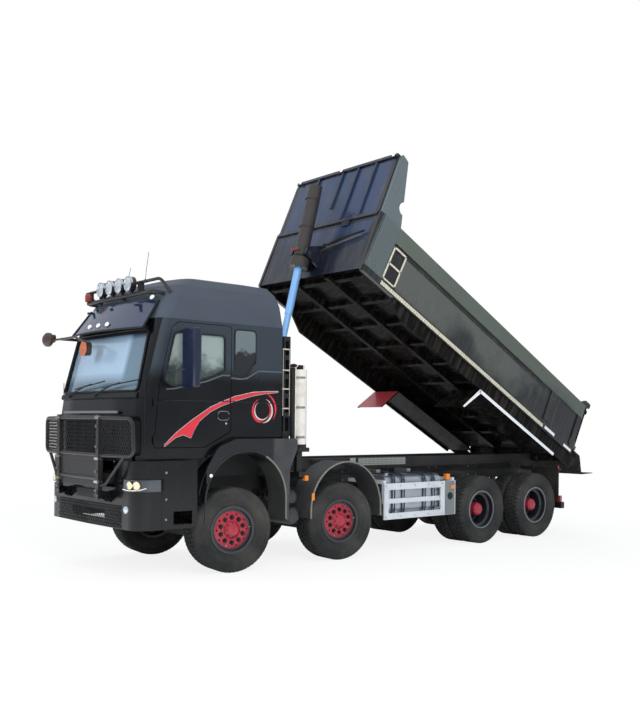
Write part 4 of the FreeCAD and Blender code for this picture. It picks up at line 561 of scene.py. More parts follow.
# enamel under clear lacquer: black, with a painted sky reflection in blue grey on the upper half
# of the sides
cab_lacquer, tree = blank_material("cab_lacquer")
where = add(tree, "ShaderNodeTexCoord").outputs["Object"]
split = add(tree, "ShaderNodeSeparateXYZ", {0: where})
wide = add(tree, "ShaderNodeMath", {0: split.outputs["X"]}, operation="ABSOLUTE")
flank = add(tree, "ShaderNodeMath", {0: wide.outputs[0], 1: 1.085}, operation="GREATER_THAN")
cloud = add(tree, "ShaderNodeTexNoise", {"Vector": where, "Scale": 1.7, "Detail": 4.0})
upper_sky_reflection = add(tree, "ShaderNodeMapRange", {"Value": split.outputs["Z"], "From Min": 2.42,
                                         "From Max": 2.62, "To Min": 0.0, "To Max": 0.85})
both = add(tree, "ShaderNodeMath", {0: upper_sky_reflection.outputs[0], 1: flank.outputs[0]},
           operation="MULTIPLY")
dust = add(tree, "ShaderNodeMapRange", {"Value": cloud.outputs["Fac"], "From Min": 0.45,
                                        "From Max": 0.75, "To Max": 0.25})
tone = add(tree, "ShaderNodeMixRGB", {"Fac": dust.outputs[0], "Color1": colour("#07080B"),
                                      "Color2": colour("#14171A")})
# painted sky reflection: the upper half of the sides turns blue grey
tone = add(tree, "ShaderNodeMixRGB", {"Fac": both.outputs[0], "Color1": tone.outputs[0],
                                      "Color2": colour("#333B43")})
rough = add(tree, "ShaderNodeMapRange", {"Value": cloud.outputs["Fac"], "To Min": 0.16,
                                         "To Max": 0.34})
relief = add(tree, "ShaderNodeBump", {"Height": cloud.outputs["Fac"], "Distance": 0.002,
                                      "Strength": 0.3})
body = add(tree, "ShaderNodeBsdfPrincipled", {"Base Color": tone.outputs[0], "Coat Weight": 0.35,
                                              "Specular IOR Level": 0.3,
                                              "Roughness": rough.outputs[0],
                                              "Coat Roughness": 0.05,
                                              "Normal": relief.outputs[0]})
add(tree, "ShaderNodeOutputMaterial", {"Surface": body.outputs[0]})
wear(cab_lacquer, "cab_shell", "door_left", "door_right")
wear(roof_plastic, "cab_roof")
wear(seat_cloth, "cab_interior")
wear(trim_plastic, "front_grille")

# laminated glass with a tint and a light smear of dust
cab_glass, tree = blank_material("tinted_glass")
where = add(tree, "ShaderNodeTexCoord").outputs["Object"]
film = add(tree, "ShaderNodeTexNoise", {"Vector": where, "Scale": 5.0, "Detail": 4.0})
smear = add(tree, "ShaderNodeMapRange", {"Value": film.outputs["Fac"], "From Min": 0.4,
                                         "To Min": 0.0, "To Max": 0.05})
pane = add(tree, "ShaderNodeBsdfPrincipled", {"Base Color": colour("#B9C6CC"),
                                              "Roughness": smear.outputs[0],
                                              "Transmission Weight": 1.0, "IOR": 1.5})
# painted sky reflection: a blue sheen covers most of the windscreen, and a grey green one covers
# the side panes, more at their heads than lower down, with a ragged edge
split = add(tree, "ShaderNodeSeparateXYZ", {0: where})
geometry = add(tree, "ShaderNodeNewGeometry")
facing = add(tree, "ShaderNodeSeparateXYZ", {0: geometry.outputs["Normal"]})
front = add(tree, "ShaderNodeMath", {0: facing.outputs["Y"], 1: -0.5}, operation="LESS_THAN")
ragged = add(tree, "ShaderNodeMath", {0: film.outputs["Fac"], 1: 0.55, 2: split.outputs["Z"]},
             operation="MULTIPLY_ADD")
level = add(tree, "ShaderNodeMapRange", {"Value": ragged.outputs[0], "From Min": 2.86,
                                         "From Max": 3.02, "To Min": 0.12, "To Max": 0.78})
cover = add(tree, "ShaderNodeMapRange", {"Value": front.outputs[0], "To Min": level.outputs[0],
                                         "To Max": 0.86})
# the windscreen mirrors a bright sky, and darker surroundings at its foot and its left end
across = add(tree, "ShaderNodeMapRange", {"Value": split.outputs["X"], "From Min": 0.56,
                                          "From Max": 0.66, "To Min": 1.0, "To Max": 0.0})
upward = add(tree, "ShaderNodeMapRange", {"Value": split.outputs["Z"], "From Min": 2.38,
                                          "From Max": 2.52})
patch = add(tree, "ShaderNodeMath", {0: across.outputs[0], 1: upward.outputs[0]},
            operation="MULTIPLY")
blue = add(tree, "ShaderNodeMixRGB", {"Fac": patch.outputs[0], "Color1": colour("#5E7687"),
                                      "Color2": colour("#9DB8CF")})
tone = add(tree, "ShaderNodeMixRGB", {"Fac": front.outputs[0], "Color1": colour("#97A5A2"),
                                      "Color2": blue.outputs[0]})
sheen = add(tree, "ShaderNodeBsdfPrincipled", {"Base Color": tone.outputs[0], "Roughness": 0.12,
                                               "Coat Weight": 1.0, "Coat Roughness": 0.03})
both = add(tree, "ShaderNodeMixShader", {0: cover.outputs[0], 1: pane.outputs[0],
                                         2: sheen.outputs[0]})
add(tree, "ShaderNodeOutputMaterial", {"Surface": both.outputs[0]})
wear(cab_glass, "cab_glass", "door_glass_left", "door_glass_right")

CAB_SIDE = 1.1202
CAB_FACE = FIRST_AXLE - 1.42
# seen from above, the face is flat, curves through a bend, and runs straight back to the side
BEND_START, BEND_END, BEND_DEPTH = 0.515, 0.717, 0.0169
BEND_MIDDLE = (BEND_START + BEND_END) / 2
CORNER_BACK = 0.085 / (1.12 - BEND_MIDDLE)
# height above the ground, and how far back the face has leaned there
FACE_LEAN = [(1.46, 0.0), (1.98, 0.0), (2.22, 0.035), (3.06, 0.245), (3.165, 0.275),
             (3.45, 0.430), (3.60, 0.540), (3.70, 0.720)]


def cab_face(x, z, out):
    """A point on the cab's front face, or in front of it."""
    lean = FACE_LEAN[-1][1]
    for (z1, lean1), (z2, lean2) in zip(FACE_LEAN, FACE_LEAN[1:]):
        if z <= z2:
            lean = lean1 + (lean2 - lean1) * (z - z1) / (z2 - z1)
            break
    bow = 0.0
    if abs(x) >= BEND_END:
        bow = CORNER_BACK * (abs(x) - BEND_MIDDLE)
    elif abs(x) > BEND_START:
        bow = BEND_DEPTH * ((abs(x) - BEND_START) / (BEND_END - BEND_START)) ** 2
    return Vector((x, CAB_FACE + lean + bow - out, z))


def on_side(along, height, out, sign):
    """A point on the cab's flat side, or out from it."""
    return Vector((sign * (CAB_SIDE + out), FIRST_AXLE + along, height))


def strip_faces(rows, width=2):
    """Faces that join rows of points, each as wide as the next."""
    return [(width * i + j, width * (i + 1) + j, width * (i + 1) + j + 1, width * i + j + 1)
            for i in range(rows - 1) for j in range(width - 1)]


# rubber seals round every pane
screen = rounded([(-1.01, 2.275), (1.01, 2.275), (0.955, 3.03), (-0.955, 3.03)], 0.07)
line = []
for first, second in zip(screen, screen[1:] + screen[:1]):
    parts = max(1, int((second - first).length / 0.08))
    line += [first + (second - first) * i / parts for i in range(parts)]
tube("windscreen_seal", [cab_face(p.x, p.y, 0.001) for p in line], 0.013, gasket_rubber,
     "chassis", closed=True)
DOOR_PANE = [(-0.87, 2.335), (-1.01, 2.40), (-0.86, 3.0), (-0.139, 3.0), (-0.139, 2.545),
             (-0.42, 2.44)]
QUARTER_PANE = [(0.008, 3.09), (0.338, 3.09), (0.338, 2.72), (0.19, 2.50), (0.008, 2.50)]
# glossy black panel round the quarter light, whose upper part mirrors the sky
quarter_gloss, tree = blank_material("quarter_light_gloss")
where = add(tree, "ShaderNodeTexCoord").outputs["Object"]
split = add(tree, "ShaderNodeSeparateXYZ", {0: where})
edge = add(tree, "ShaderNodeTexNoise", {"Vector": where, "Scale": 9.0, "Detail": 5.0})
ragged = add(tree, "ShaderNodeMath", {0: edge.outputs["Fac"], 1: 0.30, 2: split.outputs["Z"]},
             operation="MULTIPLY_ADD")
mirrored = add(tree, "ShaderNodeMapRange", {"Value": ragged.outputs[0], "From Min": 2.93,
                                            "From Max": 2.99})
tone = add(tree, "ShaderNodeMixRGB", {"Fac": mirrored.outputs[0], "Color1": colour("#15191C"),
                                      "Color2": colour("#5E6A6C")})
gloss = add(tree, "ShaderNodeBsdfPrincipled", {"Base Color": tone.outputs[0], "Roughness": 0.12,
                                               "Coat Weight": 1.0, "Coat Roughness": 0.03})
add(tree, "ShaderNodeOutputMaterial", {"Surface": gloss.outputs[0]})
for side, sign in SIDES:
    for name, pane, body in (("door_pane_seal", DOOR_PANE, f"door_{side}"),
                             ("quarter_pane_seal", QUARTER_PANE, "chassis")):
        tube(f"{name}_{side}", [on_side(p.x, p.y, -0.002, sign) for p in rounded(pane, 0.06)],
             0.012, gasket_rubber, body, closed=True)
    outline = rounded(QUARTER_PANE, 0.04)
    count = len(outline)
    shape(f"quarter_light_{side}",
          [on_side(p.x, p.y, out, sign) for out in (0.0006, 0.004) for p in outline],
          [tuple(range(count)), tuple(range(count, 2 * count))] + rim_faces(count),
          quarter_gloss, "chassis")
    # the quarter pane is backed with a black blind
    blocks(f"quarter_blind_{side}", [span(sign, (1.066, 1.072), (0.012, 0.338), (2.60, 3.052))],
           trim_plastic, "chassis")

# the belt line's rounded edge, with a painted highlight: its blue grey stands for the light it
# catches
belt_highlight = surface("belt_line", "#434C55", "#525A62", 0.3, 0.25, 10, 0.1, coat=0.6)
# line on the side: how far it stands out, its radius and its finish
CREASE = (-0.001, 0.006, cab_lacquer)
BELT = (-0.004, 0.011, belt_highlight)
SIDE_LINES = (
    ("door_crease", CREASE, ((-1.10, 2.165), (-0.8, 2.17), (-0.4, 2.172), (-0.062, 2.172))),
    ("quarter_crease", CREASE, ((-0.042, 2.172), (0.3, 2.170), (0.74, 2.160))),
    ("door_belt", BELT, ((-0.98, 2.300), (-0.86, 2.312), (-0.42, 2.412), (-0.17, 2.500),
                         (-0.062, 2.500))),
    ("quarter_belt", BELT, ((-0.042, 2.470), (0.10, 2.462), (0.20, 2.475), (0.30, 2.53),
                            (0.38, 2.575), (0.78, 2.58))))
for side, sign in SIDES:
    for name, (out, radius, finish), places in SIDE_LINES:
        tube(f"{name}_{side}", [on_side(y, z, out, sign) for y, z in places], radius, finish,
             f"door_{side}" if name.startswith("door") else "chassis")
    tube(f"corner_seam_{side}", [on_side(-1.262, 1.62 + 0.2 * i, -0.003, sign) for i in range(5)],
         0.005, gasket_rubber, "chassis", sides=6)
    # handle bowl and lock
    bowl = rounded([(-0.235, 1.935), (-0.070, 1.935), (-0.070, 2.045), (-0.235, 2.045)], 0.05)
    tube(f"handle_bowl_{side}", [on_side(p.x, p.y, 0.0, sign) for p in bowl], 0.006,
         zinc, f"door_{side}", closed=True)
    turned(f"door_lock_{side}", [(0, 0.013), (0.006, 0.013), (0.008, 0.009)],
           on_side(-0.115, 1.895, 0, sign), (sign, 0, 0), chrome, f"door_{side}",
           20)

# cowl of black plastic under the windscreen, with two wiper arms
COWL_HALF, COWL_STEPS = 1.02, 32
# section of the cowl: height, how far it stands out
COWL_SECTION = ((2.185, 0.001), (2.20, 0.022), (2.245, 0.020), (2.262, 0.001))
cowl = [cab_face(COWL_HALF * (2 * i / COWL_STEPS - 1), z, out)
        for i in range(COWL_STEPS + 1) for z, out in COWL_SECTION]
last = len(cowl) - 1
shape("cowl", cowl, strip_faces(COWL_STEPS + 1, 4) + [(0, 1, 2, 3), (last, last - 1, last - 2,
                                                                     last - 3)],
      trim_plastic, "chassis")
for number, pivot in enumerate((-0.62, 0.12)):
    arm = [cab_face(pivot, 2.235, 0.030), cab_face(pivot + 0.10, 2.262, 0.045),
           cab_face(pivot + 0.40, 2.345, 0.040), cab_face(pivot + 0.56, 2.372, 0.032)]
    tube(f"wiper_arm_{number + 1}", arm, 0.010, trim_plastic, "chassis")
    blade = [cab_face(pivot + 0.10 + 0.1 * i, 2.318 + 0.011 * i, 0.020) for i in range(9)]
    tube(f"wiper_blade_{number + 1}", blade, 0.008, gasket_rubber, "chassis")
    turned(f"wiper_pivot_{number + 1}", [(0, 0.026), (0.03, 0.024), (0.04, 0.014)],
           cab_face(pivot, 2.228, 0.005), (0, -1, 0.15), trim_plastic, "chassis",
           20)

# bright strip over the grille, whose ends step back: x, how far it stands out
STRIP_STATIONS = ((-0.748, 0.0075), (-0.604, 0.0295), (-0.3, 0.0295), (0.0, 0.0295),
                  (0.3, 0.0295), (0.604, 0.0295), (0.748, 0.0075))
strip, faces = [], []
for x, out in STRIP_STATIONS:
    strip += [Vector((x, CAB_FACE - out, z)) for z in (2.005, 2.035)]
    strip += [Vector((x, CAB_FACE + 0.012, z)) for z in (2.035, 2.005)]
for i in range(len(STRIP_STATIONS) - 1):
    for j in range(4):
        faces.append((4 * i + j, 4 * i + (j + 1) % 4, 4 * i + 4 + (j + 1) % 4, 4 * i + 4 + j))
faces += [(3, 2, 1, 0), (24, 25, 26, 27)]
shape("bright_strip", strip, faces, chrome, "chassis")

# padded edge of the dash under the windscreen
blocks("dash_pad", [span(1, (-0.92, 0.92), (-1.15, -0.95), (2.222, 2.240))],
       trim_plastic, "chassis", 0.006)

# black rubber strips close the gaps under the cab, over the arch and over the bumper, and a
# splash shield stands inside each arch
strips = [span(1, (-1.04, 1.04), (-1.395, -1.38), (1.425, 1.50))]
for sign in (1, -1):
    strips += [span(sign, (1.075, 1.090), (-1.36, -0.45), (1.400, 1.50)),
               span(sign, (0.700, 0.706), (-0.62, 0.75), (1.200, 1.70)),
               span(sign, (1.075, 1.090), (-0.62, 0.75), (1.50, 1.73))]
blocks("under_cab_strips", strips, gasket_rubber, "chassis", 0.002)


# ---- Side stripe --------------------------------------------------------------------------
# Cut vinyl film in red with a pale edge: a tapering sweep over door and rear quarter, and a
# loose ring of arcs behind it. The film lies on the lacquer.

# cut vinyl film: even colour and a flat gloss, a little faded in patches
red_vinyl = surface("red_vinyl", "#CE2636", "#B02C3A", 0.4, 0.30, 8, 0.03, coat=0.3)
pale_vinyl = surface("pale_vinyl", "#C9B4B2", "#B09A9A", 0.4, 0.35, 8, 0.03, coat=0.3)


def film_strip(name, rows, material, body, sign, out):
    """A strip of film between two edges given as (along, low, high) rows."""
    points = [on_side(along, edge, out, sign) for along, *edges in rows for edge in edges]
    return shape(name, points, strip_faces(len(rows)), material, body)


# sweep: place along the cab, its lower edge, its upper edge
SWEEP = [(-1.000, 1.610, 1.620), (-0.840, 1.720, 1.765), (-0.745, 1.752, 1.834),
         (-0.622, 1.716, 1.920), (-0.585, 1.803, 1.944), (-0.507, 1.923, 1.992),
         (-0.350, 2.041, 2.089), (-0.206, 2.108, 2.147), (0.008, 2.180, 2.229),
         (0.300, 2.256, 2.293), (0.510, 2.293, 2.307), (0.715, 2.313, 2.315)]


def sweep_edges(along):
    """Lower and upper edge of the sweep at a place along the cab."""
    for (a1, low1, top1), (a2, low2, top2) in zip(SWEEP, SWEEP[1:]):
        if along <= a2:
            t = (along - a1) / (a2 - a1)
            t = t * t * (3 - 2 * t) if top2 - low2 > 0.15 else t
            return low1 + (low2 - low1) * t, top1 + (top2 - top1) * (along - a1) / (a2 - a1)
    return SWEEP[-1][1:]


# arc of the ring: start and end angle, radius at its start and end, widest width, film
RING_ARCS = ((110, 300, 0.160, 0.145, 0.034, red_vinyl),
             (250, 430, 0.150, 0.165, 0.028, pale_vinyl),
             (120, 330, 0.128, 0.110, 0.020, pale_vinyl),
             (300, 420, 0.120, 0.135, 0.018, red_vinyl),
             (-35, 78, 0.205, 0.238, 0.026, red_vinyl))
RING_ALONG, RING_HEIGHT = 0.45, 2.06
for side, sign in SIDES:
    for body, start, end in ((f"door_{side}", -1.00, -0.062), ("chassis", -0.042, 0.71)):
        steps = [start + (end - start) * i / 40 for i in range(41)]
        red = [(a, *sweep_edges(a)) for a in steps]
        above = [(a, high + 0.004, high + 0.012) for a, low, high in red]
        below = [(a, low - 0.008, low - 0.003) for a, low, high in red]
        for name, rows, film in (("red_sweep", red, red_vinyl), ("pale_edge", above, pale_vinyl),
                                 ("pale_foot", below, pale_vinyl)):
            film_strip(f"{name}_{body}_{side}", rows, film, body, sign, 0.0008)
    for number, (first, last, start, end, wide, film) in enumerate(RING_ARCS):
        points = []
        for i in range(33):
            t = i / 32
            angle = math.radians(first + (last - first) * t)
            reach = start + (end - start) * t
            half = wide * math.sin(math.pi * t) / 2 + 0.0004
            points += [on_side(RING_ALONG + math.cos(angle) * radius,
                               RING_HEIGHT + math.sin(angle) * radius, 0.0012, sign)
                       for radius in (reach - half, reach + half)]
        shape(f"ring_arc_{number + 1}_{side}", points, strip_faces(33), film, "chassis")


# ---- Visor, roof bar and mirrors ----------------------------------------------------------
# The visor is blue smoked acrylic with white marker lamps on it and black edging. The roof bar
# is bent steel tube with four chromed spot lamps, beside a beacon and two aerials. The mirrors
# are moulded shells on tube arms.

# smoked acrylic: deep blue and very smooth, hazed by dust
visor_acrylic = surface("smoked_acrylic", "#16223E", "#223252", 0.5, 0.10, 30, 0.05, coat=0.6)
wear(visor_acrylic, "sun_visor")
# moulded acrylic lenses: even bright colours under a clear skin
marker_white = surface("marker_lens_white", "#F2F2EC", "#D8D8D2", 0.3, 0.25, 6, 0.2, coat=0.5)
marker_red = surface("marker_lens_red", "#A81A16", "#7A1210", 0.3, 0.2, 6, 0.3, coat=0.6)
marker_amber = surface("marker_lens_amber", "#E08018", "#B86410", 0.3, 0.25, 6, 0.3, coat=0.5)
# marker lamp: x, how far behind the cab's face, height; a lens is half as wide again as high
VISOR_MARKERS = ((-0.26, 0.118, 3.12), (-0.02, 0.118, 3.12), (0.22, 0.118, 3.12),
                 (0.84, 0.40, 3.43))
for number, (x, behind, height) in enumerate(VISOR_MARKERS):
    turned(f"visor_marker_{number + 1}", [(0, 0.030), (0.012, 0.030), (0.020, 0.018)],
           (x, CAB_FACE + behind, height), (0, -1, 0.4), marker_white, "chassis", 24,
           move=lambda a, b, c, x=x: Vector((x + (a - x) * 1.5, b, c)))
# black edging along the visor's foot and its two ends: (radius of the bend, height)
VISOR_EDGES = ((3.536, 3.040), (3.275, 3.399))
VISOR_AXIS = CAB_FACE + 3.6


def on_visor(degrees, radius, height):
    """A point of the visor, which is bent round an upright axis behind the cab's face."""
    angle = math.radians(degrees)
    return Vector((radius * math.sin(angle), VISOR_AXIS - radius * math.cos(angle), height))


# dark band along the windscreen's head, behind the visor
BAND_HALF, BAND_STEPS = 0.95, 24
band = [cab_face(BAND_HALF * (2 * i / BAND_STEPS - 1), height, 0.006)
        for i in range(BAND_STEPS + 1) for height in (2.975, 3.075)]
shape("sun_band", band, strip_faces(BAND_STEPS + 1), gasket_rubber, "chassis")
tube("visor_edging_foot", [on_visor(-16 + i, *VISOR_EDGES[0]) for i in range(33)], 0.012,
     gasket_rubber, "chassis")
for side, sign in SIDES:
    tube(f"visor_edging_{side}", [on_visor(16 * sign, *place) for place in VISOR_EDGES], 0.014,
         gasket_rubber, "chassis")

# powder-coated tube: black with a soft gloss, browned by mud
bar_enamel = surface("bar_enamel", "#1B1A1B", "#3B322F", 0.5, 0.38, 6, 0.5, coat=0.3)
wear(bar_enamel, "roof_light_bar", "bull_bar")
# fluted lamp glass over a mirror: pale and bright all over
lamp_glass = surface("fluted_lamp_glass", "#C9D4DB", "#E8EDF0", 0.5, 0.06, 10, 0.3, coat=1.0,
                     metallic=0.55)
SPOT_SHELL = [(-0.066, 0.050), (-0.064, 0.064), (-0.048, 0.082), (-0.020, 0.0945),
              (0.010, 0.0965), (0.012, 0.090), (0.004, 0.086)]
SPOT_GLASS = [(0.002, 0.086), (0.010, 0.070), (0.015, 0.040), (0.017, 0.004)]
for number, x in enumerate((-0.375, -0.125, 0.125, 0.375)):
    place = (x, FIRST_AXLE - 1.105, 3.634)
    turned(f"spot_lamp_shell_{number + 1}", SPOT_SHELL, place, (0, -1, 0), chrome, "chassis")
    turned(f"spot_lamp_glass_{number + 1}", SPOT_GLASS, place, (0, -1, 0), lamp_glass, "chassis")
# moulded beacon dome: a dark red brown that glows where the light runs through
beacon_lens = surface("beacon_lens", "#7C2A1C", "#5A2018", 0.4, 0.12, 12, 0.4, coat=1.0)
turned("beacon", [(0, 0.053), (0.075, 0.054), (0.100, 0.048), (0.118, 0.030), (0.1245, 0.004)],
       (-0.80, FIRST_AXLE - 1.06, 3.518), (0, 0, 1), beacon_lens, "chassis", 32)
# aerial: x, along, height of its foot, height of its tip
AERIALS = ((0.0, -0.657, 3.74, 4.15), (-0.564, -0.62, 3.70, 4.01))
for number, (x, along, height, top) in enumerate(AERIALS):
    turned(f"aerial_base_{number + 1}", [(0, 0.026), (0.02, 0.022), (0.045, 0.008)],
           (x, FIRST_AXLE + along, height), (0, 0, 1), trim_plastic, "chassis", 20)
    tube(f"aerial_{number + 1}", [(x, FIRST_AXLE + along, height + 0.03),
                                  (x, FIRST_AXLE + along + 0.02, (height + top) / 2),
                                  (x, FIRST_AXLE + along + 0.05, top)], 0.0035, trim_plastic,
         "chassis", sides=6)

# moulded mirror shells: navy plastic with a light polish
mirror_blue = surface("mirror_moulding", "#101A30", "#18233A", 0.3, 0.22, 10, 0.1, coat=0.5)
# arm plastic that the weather has turned brown
arm_brown = surface("weathered_arm_plastic", "#2B201D", "#5A3A2C", 0.5, 0.35, 8, 0.3, coat=0.3)
# silvered glass: a clean mirror
mirror_glass = surface("mirror_glass", "#C6CED4", "#AEB6BC", 0.2, 0.03, 30, 0.01, metallic=1.0)
wear(arm_brown, "front_mirrors")
# the kerb mirror's shell is wider than it is high
KERB_X, KERB_STRETCH = -1.365, 1.42
turned("kerb_mirror_shell", [(-0.038, 0.030), (-0.030, 0.070), (-0.006, 0.095), (0.030, 0.098),
                             (0.040, 0.090)],
       (KERB_X, FIRST_AXLE - 1.400, 3.020), (0, 1, 0), arm_brown, "chassis", 32,
       move=lambda x, y, z: Vector((KERB_X + (x - KERB_X) * KERB_STRETCH, y, z)))
# the front mirror's glass, tinted amber
amber_face = surface("amber_mirror_face", "#B5613C", "#8E4A30", 0.6, 0.20, 20, 0.2, coat=0.6)
pane = rounded([(-0.300, 2.750), (-0.185, 2.735), (-0.115, 2.800), (-0.135, 2.905),
                (-0.255, 2.930), (-0.325, 2.850)], 0.03)
y = FIRST_AXLE - 1.4165
shape("front_mirror_face", [(p.x, back, p.y) for back in (y, y + 0.006) for p in pane],
      [tuple(range(len(pane)))] + rim_faces(len(pane)), amber_face, "chassis")
for side, sign in SIDES:
    blocks(f"mirror_shell_{side}",
           [span(sign, (1.236, 1.512), (-0.838, -0.742), (2.320, 3.034))],
           mirror_blue, f"door_{side}", 0.018)
    blocks(f"mirror_panes_{side}", [span(sign, (1.300, 1.478), (-0.743, -0.737), height)
                                    for height in ((2.64, 2.99), (2.36, 2.61))],
           mirror_glass, f"door_{side}", 0.001)


# ---- Bull bar -----------------------------------------------------------------------------
# Bent and welded steel tube in black powder coat, with diamond wire mesh welded across each
# bay and bright clips at the uprights' heads.

# powder-coated wire: black, dull at its crossings
wire_enamel = surface("wire_enamel", "#191A1C", "#3A3531", 0.4, 0.5, 4, 0.3)
BAR_Y = FIRST_AXLE - 1.57


def wire_mesh(name, low, high, pitch, wire, move, material, body):
    """Diagonal wires both ways inside a rectangle, as flat-sided bars that end at the last of
    twelve steps inside it."""
    points, faces = [], []
    width, height = high[0] - low[0], high[1] - low[1]
    lean = height * 0.6
    for way in (1, -1):
        for i in range(int((width + lean) / pitch) + 2):
            start = i * pitch - (lean if way > 0 else 0)
            line = [(low[0] + start + way * lean * j / 12, low[1] + height * j / 12)
                    for j in range(13) if 0 <= start + way * lean * j / 12 <= width]
            if len(line) < 2:
                continue
            first = len(points)
            for x, z in (line[0], line[-1]):
                for dx, dy in ((-wire, -wire), (wire, -wire), (wire, wire), (-wire, wire)):
                    points.append(move(x + dx, dy, z))
            faces += rim_faces(4, first)
    return shape(name, points, faces, material, body)


wire_mesh("bar_mesh_middle", (-0.55, 1.12), (0.55, 1.93), 0.055, 0.0035,
          lambda x, d, z: Vector((x, BAR_Y + 0.012 + d, z)), wire_enamel, "bull_bar")
for side, sign in SIDES:
    wire_mesh(f"bar_mesh_{side}", (0.57, 1.505), (1.19, 1.935), 0.048, 0.0035,
              lambda x, d, z, s=sign: Vector((s * x, BAR_Y + 0.16 * (x - 0.55) + d, z)),
              wire_enamel, "bull_bar")
    blocks(f"bar_clips_{side}", [((sign * 0.55 - 0.046, BAR_Y - 0.036, z),
                                  (sign * 0.55 + 0.046, BAR_Y + 0.036, z + 0.034))
                                 for z in (1.938, 1.44, 1.16)],
           chrome if side == "left" else zinc, "bull_bar", 0.004)
    hexagons(f"bar_bolts_{side}", [(sign * 0.55, BAR_Y - 0.031, z) for z in
                                   (1.07, 1.30, 1.60, 1.85)], (0, -1, 0), 0.022, 0.012, zinc,
             "bull_bar")


# ---- Bumper, lamps and steps --------------------------------------------------------------
# The bumper is steel in black lacquer with a black plastic apron. Wedge lamps of smoked
# polycarbonate over chromed bowls sit in its corners, and zinc-plated treads in the wells.

# smoked polycarbonate moulded with fine upright flutes: grey in front and red behind
lamp_lens, tree = blank_material("smoked_polycarbonate")
where = add(tree, "ShaderNodeTexCoord").outputs["Object"]
split = add(tree, "ShaderNodeSeparateXYZ", {0: where})
behind = add(tree, "ShaderNodeMath", {0: split.outputs["Y"], 1: 0.0}, operation="GREATER_THAN")
# flutes 12 mm apart are drawn 23.75 mm apart, and a wave of scale 1 repeats every pi / 10 m
flutes = add(tree, "ShaderNodeTexWave", {"Vector": where, "Scale": math.pi / 10 / 0.02375,
                                         "Distortion": 0.2}, bands_direction="X")
tone = add(tree, "ShaderNodeMixRGB", {"Fac": behind.outputs[0], "Color1": colour("#3A4046"),
                                      "Color2": colour("#8E1A14")})
relief = add(tree, "ShaderNodeBump", {"Height": flutes.outputs["Fac"], "Distance": 0.001,
                                      "Strength": 0.4})
lens = add(tree, "ShaderNodeBsdfPrincipled", {"Base Color": tone.outputs[0], "Roughness": 0.12,
                                              "Coat Weight": 1.0, "Coat Roughness": 0.03,
                                              "Normal": relief.outputs[0]})
add(tree, "ShaderNodeOutputMaterial", {"Surface": lens.outputs[0]})
wear(lamp_lens, "lamps")
# a lit bulb's frosted glass: warm and softly rippled
bulb_glow, tree = blank_material("warm_bulb")
where = add(tree, "ShaderNodeTexCoord").outputs["Object"]
ripple = add(tree, "ShaderNodeTexNoise", {"Vector": where, "Scale": 60.0})
tone = add(tree, "ShaderNodeMixRGB", {"Fac": ripple.outputs["Fac"], "Color1": colour("#FFE3A8"),
                                      "Color2": colour("#F5C983")})
glow = add(tree, "ShaderNodeBsdfPrincipled", {"Base Color": tone.outputs[0], "Roughness": 0.2,
                                              "Emission Color": colour("#FFDDA0"),
                                              "Emission Strength": 0.45, "Coat Weight": 1.0})
add(tree, "ShaderNodeOutputMaterial", {"Surface": glow.outputs[0]})
BUMPER_FACE = FIRST_AXLE - 1.45
# headlamp: x, how far behind the bumper's face, how far it looks outward
HEADLAMPS = ((1.045, 0.040, 0.15), (1.135, 0.082, 0.45))
# running light: x, how far behind the bumper's face, height
RUNNING_LIGHT = ((0.905, 0.026, 1.10), (1.00, 0.036, 1.092), (1.10, 0.056, 1.092),
                 (1.160, 0.110, 1.10), (1.188, 0.180, 1.12))
PANEL_SIDE = 1.2155
for side, sign in SIDES:
    for number, (x, depth, way) in enumerate(HEADLAMPS):
        centre = Vector((sign * x, BUMPER_FACE + depth, 1.150))
        axis = (sign * way, -1, 0)
        turned(f"lamp_bowl_{number + 1}_{side}", [(-0.004, 0.052), (0.008, 0.052),
                                                  (0.006, 0.046), (0.002, 0.042)],
               centre, axis, chrome, "chassis", 32)
        turned(f"lamp_bulb_{number + 1}_{side}", [(0.0, 0.043), (0.008, 0.033), (0.012, 0.004)],
               centre, axis, bulb_glow, "chassis", 32)
    # bright running-light line under the bowls, a fog lamp, and the corner panel's studs
    run = [Vector((sign * x, BUMPER_FACE + depth, z)) for x, depth, z in RUNNING_LIGHT]
    tube(f"running_light_{side}", run, 0.006, marker_white, "chassis", sides=6)
    turned(f"fog_lamp_{side}", [(-0.01, 0.044), (0.004, 0.044), (0.006, 0.036), (0.002, 0.030),
                                (0.008, 0.004)],
           (sign * 0.98, BUMPER_FACE + 0.026, 0.86), (sign * 0.1, -1, 0), lamp_glass, "chassis",
           32)
    hexagons(f"corner_studs_{side}", [(sign * PANEL_SIDE, FIRST_AXLE - 1.02, z) for z in
                                      (0.74, 0.98, 1.30)], (sign, 0, 0), 0.018, 0.006, zinc,
             "chassis")
    # seven bars of 16 mm, 46 mm apart, in each step
    treads = [span(sign, (1.005, 1.200), (0.046 * i, 0.046 * i + 0.016), (z - 0.001, z + 0.005),
                   FIRST_AXLE - 0.945) for z in (0.6655, 1.0305) for i in range(7)]
    blocks(f"step_treads_{side}", treads, zinc, "chassis", 0.001)
    # upright seam behind the lamp
    tube(f"bumper_seam_{side}", [(sign * PANEL_SIDE, FIRST_AXLE - 1.075, z) for z in
                                 (0.63, 0.9, 1.2, 1.43)], 0.004, gasket_rubber, "chassis",
         sides=6)
# grained apron plastic: black, matt and dusty
apron = surface("apron_plastic", "#1A1B1D", "#3B3A37", 0.5, 0.6, 4, 0.5)
wire_mesh("apron_mesh", (-0.86, 0.63), (0.86, 0.90), 0.045, 0.003,
          lambda x, d, z: Vector((x, BUMPER_FACE - 0.001 + 0.03 * min(1.0, abs(x)) + d, z)),
          apron, "chassis")
# a plate that carries no number
blocks("blank_plate", [((-0.26, BUMPER_FACE - 0.010, 0.955), (0.26, BUMPER_FACE - 0.002, 1.065))],
       apron, "chassis", 0.003)


